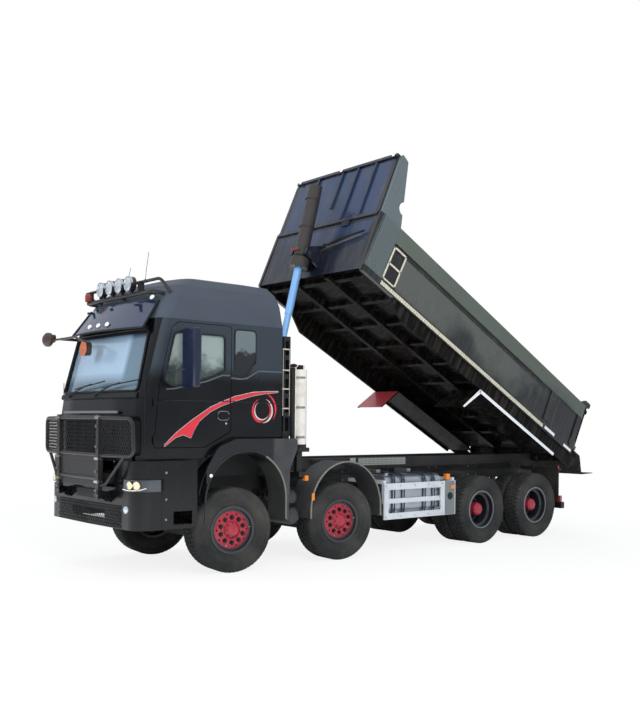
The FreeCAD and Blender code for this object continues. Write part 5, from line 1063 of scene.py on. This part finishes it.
# ---- Mudguards, tanks and side guards -----------------------------------------------------
# Moulded plastic guards with a rolled lip, glossy black on the cab and grey behind it, black
# air receivers, a brushed aluminium fuel tank with rubber-lined straps, and guard panels of
# painted alloy sheet.

# grained guard plastic: polished at the cab, dull and dusty behind it
guard_plastic, tree = blank_material("guard_moulding")
where = add(tree, "ShaderNodeTexCoord").outputs["Object"]
split = add(tree, "ShaderNodeSeparateXYZ", {0: where})
noise = add(tree, "ShaderNodeTexNoise", {"Vector": where, "Scale": 3.0, "Detail": 6.0})
front = add(tree, "ShaderNodeMapRange", {"Value": split.outputs["Y"],
                                         "From Min": FIRST_AXLE + 0.55,
                                         "From Max": FIRST_AXLE + 0.60})
dust = add(tree, "ShaderNodeMapRange", {"Value": noise.outputs["Fac"], "From Min": 0.35,
                                        "From Max": 0.75, "To Min": 0.1, "To Max": 0.8})
grey = add(tree, "ShaderNodeMixRGB", {"Fac": dust.outputs[0], "Color1": colour("#2F3236"),
                                      "Color2": colour("#4E4C48")})
tone = add(tree, "ShaderNodeMixRGB", {"Fac": front.outputs[0], "Color1": colour("#15171B"),
                                      "Color2": grey.outputs[0]})
rough = add(tree, "ShaderNodeMapRange", {"Value": front.outputs[0], "To Min": 0.28,
                                         "To Max": 0.62})
# a grain of 4 mm, drawn four times as coarse
fine = add(tree, "ShaderNodeTexNoise", {"Vector": where, "Scale": 1000 / 4 / 4})
relief = add(tree, "ShaderNodeBump", {"Height": fine.outputs["Fac"], "Distance": 0.0004})
moulding = add(tree, "ShaderNodeBsdfPrincipled", {"Base Color": tone.outputs[0],
                                                  "Roughness": rough.outputs[0],
                                                  "Normal": relief.outputs[0]})
add(tree, "ShaderNodeOutputMaterial", {"Surface": moulding.outputs[0]})
wear(guard_plastic, "mudguards")
# the same plastic worn pale at its lip
lip_plastic = surface("guard_lip", "#6F6D67", "#8A867C", 0.5, 0.55, 4, 0.3)


def arch(x, along, height, radius, first, last, foot_front=0.0, foot_rear=0.0):
    """Points round an arch between two angles, with its legs where it goes all the way."""
    line = [Vector((x, FIRST_AXLE + along - radius, foot_front))] if first == 180 else []
    for i in range(37):
        angle = math.radians(first + (last - first) * i / 36)
        line.append(Vector((x, FIRST_AXLE + along + radius * math.cos(angle),
                            height + radius * math.sin(angle))))
    if last == 0:
        line.append(Vector((x, FIRST_AXLE + along + radius, foot_rear)))
    return line


# line on a guard: its name, x, what arch() takes after it, its radius and its finish
GUARD_LINES = (
    ("cab_guard_lip", 1.2185, (0.149, 0.915, 0.629, 62, 0, 0.66, 0.64), 0.012, lip_plastic),
    ("cab_guard_bead", 1.2185, (0.149, 0.915, 0.629, 180, 62, 0.66, 0.64), 0.008, guard_plastic),
    ("cab_guard_crease", 1.218, (0.149, 0.915, 0.72, 172, 20), 0.005, guard_plastic),
    ("second_guard_lip", 1.234, (1.84, 0.728, 0.644, 180, 0, 0.615, 0.588), 0.012, lip_plastic))
for side, sign in SIDES:
    for name, x, bend, radius, finish in GUARD_LINES:
        tube(f"{name}_{side}", arch(sign * x, *bend), radius, finish, "chassis")
    blocks(f"guard_markers_{side}", [span(sign, (1.236, 1.247), (1.200, 1.249), (0.86, 0.96)),
                                     span(sign, (1.16, 1.22), (1.10, 1.16), (1.13, 1.20))],
           marker_amber, "chassis", 0.006)
    blocks(f"guard_marker_stay_{side}",
           [span(sign, (1.03, 1.165), (1.115, 1.145), (1.150, 1.175))],
           chassis_enamel, "chassis", 0.003)
    turned(f"side_marker_{side}", [(0, 0.022), (0.005, 0.022), (0.007, 0.014)],
           (sign * 1.2205, FIRST_AXLE - 0.395, 1.245), (sign, 0, 0), marker_white, "chassis",
           24)

# enamelled air receivers and battery box: black with some gloss
tank_enamel = surface("receiver_enamel", "#1D2023", "#4A4743", 0.4, 0.35, 8, 0.3, coat=0.3)
wear(tank_enamel, "air_tanks", "battery_box")
# brushed aluminium: bright, with its gleam drawn out across the strokes
brushed, tree = blank_material("brushed_aluminium")
where = add(tree, "ShaderNodeTexCoord").outputs["Object"]
# strokes across the tank, 1 mm wide and drawn as 6 mm so that they show
stroke = add(tree, "ShaderNodeMapping", {"Vector": where, "Scale": (8, 160, 8)})
brush = add(tree, "ShaderNodeTexNoise", {"Vector": stroke.outputs[0], "Scale": 1.0, "Detail": 3.0})
stain = add(tree, "ShaderNodeTexNoise", {"Vector": where, "Scale": 3.5, "Detail": 5.0})
tone = add(tree, "ShaderNodeMixRGB", {"Fac": stain.outputs["Fac"], "Color1": colour("#C6CCD1"),
                                      "Color2": colour("#9AA1A8")})
rough = add(tree, "ShaderNodeMapRange", {"Value": brush.outputs["Fac"], "To Min": 0.22,
                                         "To Max": 0.42})
relief = add(tree, "ShaderNodeBump", {"Height": brush.outputs["Fac"], "Distance": 0.0004})
metal = add(tree, "ShaderNodeBsdfPrincipled", {"Base Color": tone.outputs[0], "Metallic": 0.85,
                                               "Roughness": rough.outputs[0],
                                               "Normal": relief.outputs[0]})
add(tree, "ShaderNodeOutputMaterial", {"Surface": metal.outputs[0]})
wear(brushed, "fuel_tank")
# blue-black rubber lining under the straps
strap_rubber = surface("strap_rubber", "#26313F", "#39424C", 0.4, 0.5, 6, 0.2)
tank_start = FIRST_AXLE + 2.64
tank_outline = rounded([(0.690, 0.550), (1.180, 0.550), (1.180, 1.160), (0.690, 1.160)], 0.12, 8)
for number, along in enumerate((0.16, 0.36, 0.81, 1.01)):
    for name, edge in (("front", -0.024), ("rear", 0.024)):
        tube(f"strap_lining_{number + 1}_{name}",
             [(p.x, tank_start + along + edge, p.y) for p in tank_outline], 0.010,
             strap_rubber, "chassis", closed=True, sides=6)
turned("filler_cap", [(0, 0.050), (0.02, 0.052), (0.028, 0.046), (0.030, 0.010)],
       (1.04, tank_start + 0.12, 1.178), (0, 0, 1), trim_plastic, "chassis", 32)

# painted alloy sheet: pale grey, chalky with dust
guard_sheet = surface("guard_sheet_paint", "#C9CED3", "#9EA1A3", 0.5, 0.35, 10, 0.2, coat=0.3)
wear(guard_sheet, "side_guards")
# a panel whose paint has gone dull
dull_sheet = surface("dull_sheet", "#6F7678", "#8A8C88", 0.5, 0.5, 8, 0.2)
PANEL_START = FIRST_AXLE + 3.853
for side, sign in SIDES:
    blocks(f"guard_panel_skin_{side}",
           [span(sign, (1.229, 1.2325), (0.004, 0.228), (0.514, 1.031), PANEL_START)],
           dull_sheet, "chassis", 0.001)
    turned(f"guard_coupling_{side}", [(0, 0.055), (0.010, 0.055), (0.014, 0.040), (0.012, 0.030),
                                      (0.012, 0.004)],
           (sign * 1.2325, PANEL_START + 0.12, 0.80), (sign, 0, 0), gasket_rubber, "chassis",
           32)
    blocks(f"rear_guard_markers_{side}",
           [span(sign, (1.222, 1.245), (0.135, 0.215), (0.905, 0.965), PANEL_START),
            span(sign, (1.150, 1.215), (0.06, 0.14), (1.050, 1.140), PANEL_START)],
           marker_amber, "chassis", 0.006)
    hexagons(f"guard_rivets_{side}", [(sign * 1.2302, FIRST_AXLE + 2.60 + 0.3 * i, z)
                                      for i in range(5) for z in (0.545, 0.998)],
             (sign, 0, 0), 0.014, 0.004, zinc, "chassis")


# ---- Exhaust and air intake ---------------------------------------------------------------
# A steel silencer in a ribbed aluminised heat shield, a black enamelled pipe with a burnt cap,
# and a black moulded intake with pale cross bars behind the cab.

# aluminised sheet: pale and dull, stained by heat and black at its foot, with ribs 60 mm apart
# that are drawn 118.75 mm apart, so that they show
heat_shield, tree = blank_material("aluminised_heat_shield")
where = add(tree, "ShaderNodeTexCoord").outputs["Object"]
split = add(tree, "ShaderNodeSeparateXYZ", {0: where})
ribs = add(tree, "ShaderNodeTexWave", {"Vector": where, "Scale": math.pi / 10 / 0.11875},
           bands_direction="Z")
heat = add(tree, "ShaderNodeTexNoise", {"Vector": where, "Scale": 6.0, "Detail": 6.0})
rust = add(tree, "ShaderNodeMapRange", {"Value": heat.outputs["Fac"], "From Min": 0.5,
                                        "From Max": 0.8, "To Max": 0.6})
tone = add(tree, "ShaderNodeMixRGB", {"Fac": rust.outputs[0], "Color1": colour("#D8D4CC"),
                                      "Color2": colour("#A8978A")})
foot = add(tree, "ShaderNodeMath", {0: split.outputs["Z"], 1: 1.62}, operation="LESS_THAN")
tone = add(tree, "ShaderNodeMixRGB", {"Fac": foot.outputs[0], "Color1": tone.outputs[0],
                                      "Color2": colour("#1C1A19")})
relief = add(tree, "ShaderNodeBump", {"Height": ribs.outputs["Fac"], "Distance": 0.004,
                                      "Strength": 0.6})
metal = add(tree, "ShaderNodeBsdfPrincipled", {"Base Color": tone.outputs[0], "Metallic": 0.1,
                                               "Roughness": 0.5, "Normal": relief.outputs[0]})
add(tree, "ShaderNodeOutputMaterial", {"Surface": metal.outputs[0]})
wear(heat_shield, "exhaust_stack")
# heatproof enamel: flat black
pipe_black = surface("pipe_enamel", "#121213", "#2C2523", 0.5, 0.5, 5, 0.4)
# bare steel burnt brown by the exhaust
burnt_steel = surface("burnt_steel", "#1D1917", "#5A2F22", 0.7, 0.6, 5, 0.5, metallic=0.5)
SILENCER_X, SILENCER_Y = 1.135, FIRST_AXLE + 1.062
turned("pipe_sleeve", [(0, 0.0375), (1.118, 0.0375)], (1.125, FIRST_AXLE + 0.95, 1.532),
       (0, 0, 1), pipe_black, "chassis", 32)
turned("pipe_cap", [(0, 0.037), (0.022, 0.0595), (0.026, 0.0595), (0.047, 0.019)],
       (1.125, FIRST_AXLE + 0.958, 2.654), (0, 0, 1), burnt_steel, "chassis", 32)
turned("silencer_outlet", [(0, 0.0535), (0.05, 0.0535), (0.061, 0.050), (0.062, 0.030)],
       (SILENCER_X, SILENCER_Y, 2.625), (0, 0, 1), burnt_steel, "chassis", 32)
for number, height in enumerate((1.70, 2.10, 2.50)):
    turned(f"shield_band_{number + 1}", [(0, 0.0835), (0.004, 0.0855), (0.026, 0.0855),
                                         (0.030, 0.0835)],
           (SILENCER_X, SILENCER_Y, height), (0, 0, 1), zinc, "chassis", 40)
wear(trim_plastic, "air_intake")
INTAKE_ALONG = (0.783, 0.897)
blocks("intake_foot", [span(1, (1.04, 1.118), INTAKE_ALONG, (1.58, 1.80))], trim_plastic,
       "chassis", 0.002)
# pale grey plastic bars
pale_bar = surface("pale_cross_bar", "#B3ADA3", "#8A847A", 0.4, 0.45, 6, 0.2)
blocks("intake_bars", [span(1, (1.050, 1.122), INTAKE_ALONG, (z, z + 0.018))
                       for z in (2.09, 2.35, 2.60, 2.88)],
       pale_bar, "chassis", 0.002)
for number, along in enumerate((0.786, 0.894)):
    tube(f"intake_edge_{number + 1}", [(1.1195, FIRST_AXLE + along, 2.00 + 0.3 * i)
                                       for i in range(4)],
         0.004, pale_bar, "chassis", sides=6)


# ---- Bed ----------------------------------------------------------------------------------
# Welded steel sheet on long beams, in black enamel. Outside, the sides are painted grey and
# the front wall navy as painted sky reflection, darker in ragged clouds towards the bottom, and
# the front wall has darker ribs; inside, loads have worn it bare. Its places are given with the
# bed level, and on_bed turns them up 28 degrees about the hinge.

TILT = math.radians(28)
HINGE = Vector((0, FIRST_AXLE + 7.1, 1.3))
BED_FRONT = -5.77
# the front wall leans forward by this share of its height above its foot
WALL_LEAN = 0.146 / 1.887
WALL_FOOT = 0.112


def on_bed(x, along, height):
    """A point of the bed from its place with the bed level: along is behind the hinge."""
    return Vector((x, HINGE.y + along * math.cos(TILT) + height * math.sin(TILT),
                   HINGE.z - along * math.sin(TILT) + height * math.cos(TILT)))


def bed_enamel(name, plain, zones, roughness, ribs=None, coat=0.5, darkening=None):
    """Enamel whose zones are boxes in the level bed: (low corner, high corner, colour), where
    a second colour is a darker one that the zone gives way to in ragged clouds. The
    darkening grows along the bed and with height by its first two numbers, from the third.
    What stands off the leaning front wall has the colour ribs, where it is given."""
    material, tree = blank_material(name)
    where = add(tree, "ShaderNodeTexCoord").outputs["Object"]
    level = add(tree, "ShaderNodeMapping", {"Vector": where, "Location": HINGE,
                                            "Rotation": (-TILT, 0, 0)}, vector_type="TEXTURE")
    split = add(tree, "ShaderNodeSeparateXYZ", {0: level.outputs[0]})
    wide = add(tree, "ShaderNodeMath", {0: split.outputs["X"]}, operation="ABSOLUTE")
    cloud = add(tree, "ShaderNodeTexNoise", {"Vector": level.outputs[0], "Scale": 1.6,
                                             "Detail": 7.0, "Roughness": 0.6})
    if darkening:
        darkening_clouds = add(tree, "ShaderNodeTexNoise", {"Vector": level.outputs[0], "Scale": 0.75,
                                                 "Detail": 5.0, "Roughness": 0.55})
        onward = add(tree, "ShaderNodeMath", {0: split.outputs["Y"], 1: darkening[0],
                                              2: darkening_clouds.outputs["Fac"]}, operation="MULTIPLY_ADD")
        upward = add(tree, "ShaderNodeMath", {0: split.outputs["Z"], 1: darkening[1],
                                              2: onward.outputs[0]}, operation="MULTIPLY_ADD")
        darkening_share = add(tree, "ShaderNodeMapRange", {"Value": upward.outputs[0],
                                                 "From Min": darkening[2],
                                                 "From Max": darkening[2] + 0.16})
    tone = colour(plain)
    for low, high, paint, *dark in zones:
        if dark:
            paint = add(tree, "ShaderNodeMixRGB", {"Fac": darkening_share.outputs[0],
                                                   "Color1": colour(paint),
                                                   "Color2": colour(dark[0])}).outputs[0]
        else:
            paint = colour(paint)
        inside = None
        for socket, bottom, top in zip((wide.outputs[0], split.outputs["Y"], split.outputs["Z"]),
                                       low, high):
            middle, half = (bottom + top) / 2, (top - bottom) / 2
            test = add(tree, "ShaderNodeMath", {0: socket, 1: middle, 2: half},
                       operation="COMPARE").outputs[0]
            inside = test if inside is None else add(
                tree, "ShaderNodeMath", {0: inside, 1: test}, operation="MULTIPLY").outputs[0]
        tone = add(tree, "ShaderNodeMixRGB", {"Fac": inside, "Color1": tone,
                                              "Color2": paint}).outputs[0]
    if ribs:
        lean = add(tree, "ShaderNodeMath", {0: split.outputs["Z"], 1: WALL_LEAN,
                                            2: split.outputs["Y"]}, operation="MULTIPLY_ADD")
        proud = add(tree, "ShaderNodeMath", {0: lean.outputs[0],
                                             1: BED_FRONT + WALL_LEAN * WALL_FOOT - 0.008},
                    operation="LESS_THAN")
        tone = add(tree, "ShaderNodeMixRGB", {"Fac": proud.outputs[0], "Color1": tone,
                                              "Color2": colour(ribs)}).outputs[0]
    # streaks run down the sheet
    streak_map = add(tree, "ShaderNodeMapping", {"Vector": level.outputs[0], "Scale": (6, 9, 0.9)})
    streak = add(tree, "ShaderNodeTexNoise", {"Vector": streak_map.outputs[0], "Scale": 2.0,
                                              "Detail": 6.0})
    dirt = add(tree, "ShaderNodeMapRange", {"Value": streak.outputs["Fac"], "From Min": 0.48,
                                            "From Max": 0.78, "To Max": 0.35})
    tone = add(tree, "ShaderNodeMixRGB", {"Fac": dirt.outputs[0], "Color1": tone,
                                          "Color2": colour("#5A554B")}).outputs[0]
    rough = add(tree, "ShaderNodeMapRange", {"Value": cloud.outputs["Fac"], "From Min": 0.3,
                                             "From Max": 0.7, "To Min": roughness,
                                             "To Max": roughness + 0.22})
    # the sheet waves a little between its welds
    dents = add(tree, "ShaderNodeBump", {"Height": cloud.outputs["Fac"], "Distance": 0.006,
                                         "Strength": 0.35})
    body = add(tree, "ShaderNodeBsdfPrincipled", {"Base Color": tone, "Coat Weight": coat,
                                                  "Specular IOR Level": coat,
                                                  "Roughness": rough.outputs[0],
                                                  "Coat Roughness": 0.12,
                                                  "Normal": dents.outputs[0]})
    add(tree, "ShaderNodeOutputMaterial", {"Surface": body.outputs[0]})
    return material


# bare steel under rubble dust, inside the bed
WORN_STEEL = "#5B544A"
# painted sky reflection: the grey of the outer side's panel, rail, front post and wing stands for
# the sky mirrored in black enamel; the panel and rail turn darker in clouds towards the bottom and
# the rear, and behind the ladder the side is near black
side_enamel = bed_enamel("bed_side_enamel", "#16181B", [
    ((1.15, -5.36, 0.205), (1.26, -0.90, 0.742), "#4C504C", "#1A1D1E"),
    ((1.15, -5.40, 0.812), (1.26, -0.02, 1.08), "#50584F", "#343A3B"),
    ((1.15, -5.76, 0.20), (1.26, -5.385, 1.08), "#4E585A"),
    ((1.15, -6.00, 1.063), (1.26, -5.30, 2.10), "#566165"),
    ((1.222, -5.375, 0.205), (1.26, -5.075, 0.775), "#101214"),
    ((0.0, -5.72, 0.246), (1.1845, 0.08, 1.06), WORN_STEEL)], 0.22, darkening=(0.07, -0.45, 0.10))
# painted sky reflection: the navy of the front wall stands for the sky mirrored in black enamel;
# it turns darker towards the bottom, and its head, its ends, a middle band and the ribs are darker
# still
front_enamel = bed_enamel("bed_front_enamel", "#1A2A47", [
    ((0.0, -6.20, 0.10), (1.20, -5.70, 2.10), "#1D2F50", "#0D1422"),
    ((0.0, -6.20, 1.98), (1.20, -5.70, 2.10), "#10111A"),
    ((1.10, -6.20, 0.10), (1.20, -5.70, 2.10), "#10111A"),
    ((0.0, -6.20, 0.95), (1.20, -5.70, 1.09), "#111829")], 0.22, "#111829", 0.4,
    darkening=(0.0, -0.40, 0.14))
# painted shade: under the bed, the floor, fenders and tailgate are a brownish near black, darker
# than the bed's enamel, with the worn floor inside
floor_enamel = bed_enamel("bed_floor_enamel", "#0B0908", [
    ((0.0, -5.8, 0.2445), (1.20, 0.9, 0.40), WORN_STEEL)], 0.6, None, 0.1)
wear(side_enamel, "bed_side_left", "bed_side_right")
wear(front_enamel, "bed_front_wall")
wear(floor_enamel, "bed_floor", "tailgate", "bed_fenders")

# reflective tape of glass beads in film, along each ledge in short lengths: a pale sparkle,
# with its cells drawn 30 mm apart so that they show
tape_silver, tree = blank_material("reflective_tape")
where = add(tree, "ShaderNodeTexCoord").outputs["Object"]
cells = add(tree, "ShaderNodeTexVoronoi", {"Vector": where, "Scale": 1000 / 30}, feature="F1")
tone = add(tree, "ShaderNodeMixRGB", {"Fac": cells.outputs["Distance"],
                                      "Color1": colour("#E9E4CC"), "Color2": colour("#C8C3AA")})
film = add(tree, "ShaderNodeBsdfPrincipled", {"Base Color": tone.outputs[0], "Metallic": 0.3,
                                              "Roughness": 0.35, "Coat Weight": 0.6})
add(tree, "ShaderNodeOutputMaterial", {"Surface": film.outputs[0]})
# white paint on the fender's edge, and on the ledge behind the tape
tape_white = surface("white_edge_paint", "#E6E8EA", "#C5C8CA", 0.4, 0.4, 8, 0.1)
TAPE_START, TAPE_LENGTH, TAPE_STEP, TAPE_COUNT = -5.36, 0.046, 0.052, 84
LEDGE = (1.249, 1.2525)
# faces of a slab whose eight corners are two outlines of four
SLAB_FACES = [(0, 1, 2, 3), (7, 6, 5, 4), (0, 4, 5, 1), (1, 5, 6, 2), (2, 6, 7, 3), (3, 7, 4, 0)]
for side, sign in SIDES:
    tapes = [span(sign, LEDGE, (TAPE_STEP * i, TAPE_STEP * i + TAPE_LENGTH), (0.118, 0.178),
                  TAPE_START) for i in range(TAPE_COUNT)]
    blocks(f"ledge_tape_{side}", tapes, tape_silver, "bed", 0.0, on_bed)
    edge = [span(sign, (1.2385, 1.243), (-2.704, -0.47), (-0.164, -0.112), 0),
            span(sign, LEDGE, (-0.93, -0.62), (0.135, 0.185), 0),
            span(sign, LEDGE, (-0.30, -0.06), (0.120, 0.165), 0)]
    blocks(f"edge_paint_{side}", edge, tape_white, "bed", 0.0, on_bed)
    slant = [on_bed(sign * x, a, h) for x in (1.2385, 1.243) for a, h in
             ((-2.704, -0.112), (-2.664, -0.164), (-2.905, -0.55), (-2.942, -0.55))]
    shape(f"flap_edge_{side}", slant, SLAB_FACES, tape_white, "bed")
    # ladder frame: three rungs and two stiles standing off the wall
    rungs = [span(sign, (1.236, 1.2485), (-5.37, -5.08), (z, z + 0.030), 0)
             for z in (0.215, 0.475, 0.745)]
    rungs += [span(sign, (1.236, 1.2485), (y, y + 0.03), (0.215, 0.775), 0)
              for y in (-5.37, -5.11)]
    blocks(f"ladder_frame_{side}", rungs, tape_silver, "bed", 0.004, on_bed)
    # web that closes the wedge between the side's post and the leaning front wall
    web = [on_bed(sign * x, a, h) for x in (1.186, 1.234) for a, h in
           ((-5.742, 0.112), (-5.742, 1.062), (-5.842, 1.062), (-5.770, 0.112))]
    shape(f"wall_web_{side}", web, SLAB_FACES, side_enamel, "bed")
    # dark line below the rail, bolts on the front post and hooks at the gate
    tube(f"rail_foot_line_{side}", [on_bed(sign * 1.2255, -5.35 + 0.4 * i, 0.808) for i in range(11)],
         0.007, gasket_rubber, "bed", sides=6)
    hexagons(f"post_bolts_{side}", [on_bed(sign * 1.2475, -5.70 + 0.08 * i, 0.30) for i in
                                    range(3)], (sign, 0, 0), 0.018, 0.006, zinc, "bed")
    blocks(f"gate_hook_{side}", [span(sign, (1.236, 1.249), (-0.16, -0.06), (0.26, 0.36), 0),
                                 span(sign, (1.236, 1.249), (-0.13, -0.07), (0.62, 0.80), 0)],
           zinc, "bed", 0.006, on_bed)
# red film on the flap of the right fender
red_film = surface("red_flap_film", "#B04048", "#8A353B", 0.5, 0.35, 10, 0.2, coat=0.4)
flap = [on_bed(x, a, h) for x in (-1.2252, -0.6255) for a, h in
        ((-2.716, -0.1135), (-2.7085, -0.1115), (-2.9325, -0.545), (-2.944, -0.545))]
shape("red_flap_face", flap, SLAB_FACES, red_film, "bed")


def on_wall(x, height, out):
    """A point out from the leaning front wall's outer face."""
    return on_bed(x, BED_FRONT - WALL_LEAN * (height - WALL_FOOT) - out, height)


# white marker lamps on the front wall's head, and its hydraulic pipe, rod and plate
for number, x in enumerate((-1.08, -0.05, 1.12)):
    turned(f"head_marker_{number + 1}", [(0, 0.030), (0.010, 0.030), (0.018, 0.018)],
           on_bed(x, BED_FRONT - 0.180, 2.020), on_bed(0, -1, 0) - on_bed(0, 0, 0), marker_white,
           "bed", 24)
# (x, height, how far out from the wall)
WALL_PIPE = ((0.22, 0.62, 0.05), (0.34, 0.60, 0.055), (0.55, 0.66, 0.050), (0.80, 0.70, 0.045),
             (1.05, 0.74, 0.030))
WALL_ROD = ((0.18, 0.52, 0.045), (0.6, 0.60, 0.045), (1.02, 0.68, 0.03))
tube("wall_pipe", [on_wall(*place) for place in WALL_PIPE], 0.016, hose_rubber, "bed")
tube("wall_rod", [on_wall(*place) for place in WALL_ROD], 0.009, zinc, "bed")
bracket = [on_wall(x, z, d) for d in (0.012, 0.004) for x, z in
           ((0.42, 0.93), (0.60, 0.93), (0.60, 1.10), (0.42, 1.10))]
shape("wall_plate", bracket, SLAB_FACES, front_enamel, "bed")

# flanges across the tailgate's foot and head
blocks("gate_edges", [span(1, (-1.16, 1.16), (0.115, 0.123), height, 0)
                      for height in ((0.262, 0.318), (0.992, 1.048))], chassis_enamel,
       "tailgate", 0.003, on_bed)


# ---- Tipping ram --------------------------------------------------------------------------
# A telescopic ram of hard-chromed tubes and a rod, under a brown-grey enamelled cover that hangs
# on two trunnions in the bed's front wall. A bolted collar closes the cover's mouth.

# enamel on the cover: brown grey with a soft gloss
ram_enamel = surface("ram_enamel", "#2E2B2A", "#433D39", 0.4, 0.40, 8, 0.2, coat=0.3)
wear(ram_enamel, "ram_cover")
# hard chrome ground smooth, with the sky's blue painted in as its reflection
hard_chrome = surface("hard_chrome", "#8CBDF0", "#6AA2DC", 0.5, 0.24, 60, 0.004, metallic=0.35)
wear(hard_chrome, "ram_tube_1", "ram_tube_2", "ram_tube_3", "ram_rod")
ram_top = Vector((0, FIRST_AXLE + 1.95, 4.45))
ram_foot = Vector((0, FIRST_AXLE + 1.10, 1.10))
way = (ram_foot - ram_top).normalized()
# hoop round the cover: (along its axis, radius) all round its section
BAND_SECTION = [(0, 0.1040), (0, 0.1055), (0.004, 0.109), (0.030, 0.109), (0.034, 0.1055),
                (0.034, 0.1040)]
for number, (along, finish) in enumerate(((-0.9, ram_enamel), (-0.45, ram_enamel),
                                          (0.03, gasket_rubber))):
    turned(f"cover_band_{number + 1}", BAND_SECTION, ram_top + way * along, way, finish,
           "ram_cover", hoop=True)
# turned brass: yellow with a dull gleam
brass = surface("brass_fitting", "#B08A3E", "#7E6636", 0.3, 0.3, 6, 0.1, metallic=0.9)
# a bleed screw and a hose end stand on the cover just above its collar
for name, x, finish in (("bleed_screw", -0.045, marker_red), ("hose_end", 0.040, brass)):
    turned(name, [(0, 0.020), (0.030, 0.020), (0.036, 0.014), (0.052, 0.014)],
           ram_top - way * 0.06 + Vector((x, -0.094, 0)), (x * 4, -1, 0.1), finish, "ram_cover",
           16)
hexagons("collar_bolts", ring(ram_top + way * 0.22, way, 0.122, 10), way, 0.018, 0.012, zinc,
         "ram_cover")


# ---- Rear ---------------------------------------------------------------------------------
# Rubber mud flaps, a welded underride bar, and lamp clusters of red, amber and white lenses
# screwed to it.

# rolled rubber sheet: matt black, grey with dust
flap_rubber = surface("flap_rubber", "#141516", "#45423D", 0.5, 0.75, 5, 0.4)
# lens of a tail lamp: x, finish
TAIL_LENSES = ((0.885, marker_red), (0.965, marker_amber), (1.045, marker_white),
               (1.125, marker_red))
for side, sign in SIDES:
    blocks(f"mud_flap_skin_{side}",
           [span(sign, (0.642, 1.238), (6.7755, 6.7795), (0.592, 1.148))],
           flap_rubber, "chassis", 0.001)
    for number, (x, glass) in enumerate(TAIL_LENSES):
        turned(f"tail_lens_{number + 1}_{side}", [(-0.004, 0.034), (0.006, 0.034),
                                                  (0.012, 0.022)],
               (sign * x, FIRST_AXLE + 6.970, 0.605), (0, 1, 0), glass, "chassis", 28)
    blocks(f"underride_reflector_{side}",
           [span(sign, (1.05, 1.18), (6.990, 6.996), (0.47, 0.52))],
           marker_red, "chassis", 0.002)
    blocks(f"side_reflector_{side}",
           [span(sign, (1.2285, 1.2345), (6.768, 6.80), (1.13, 1.20))],
           marker_red, "chassis", 0.001)

low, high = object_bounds()
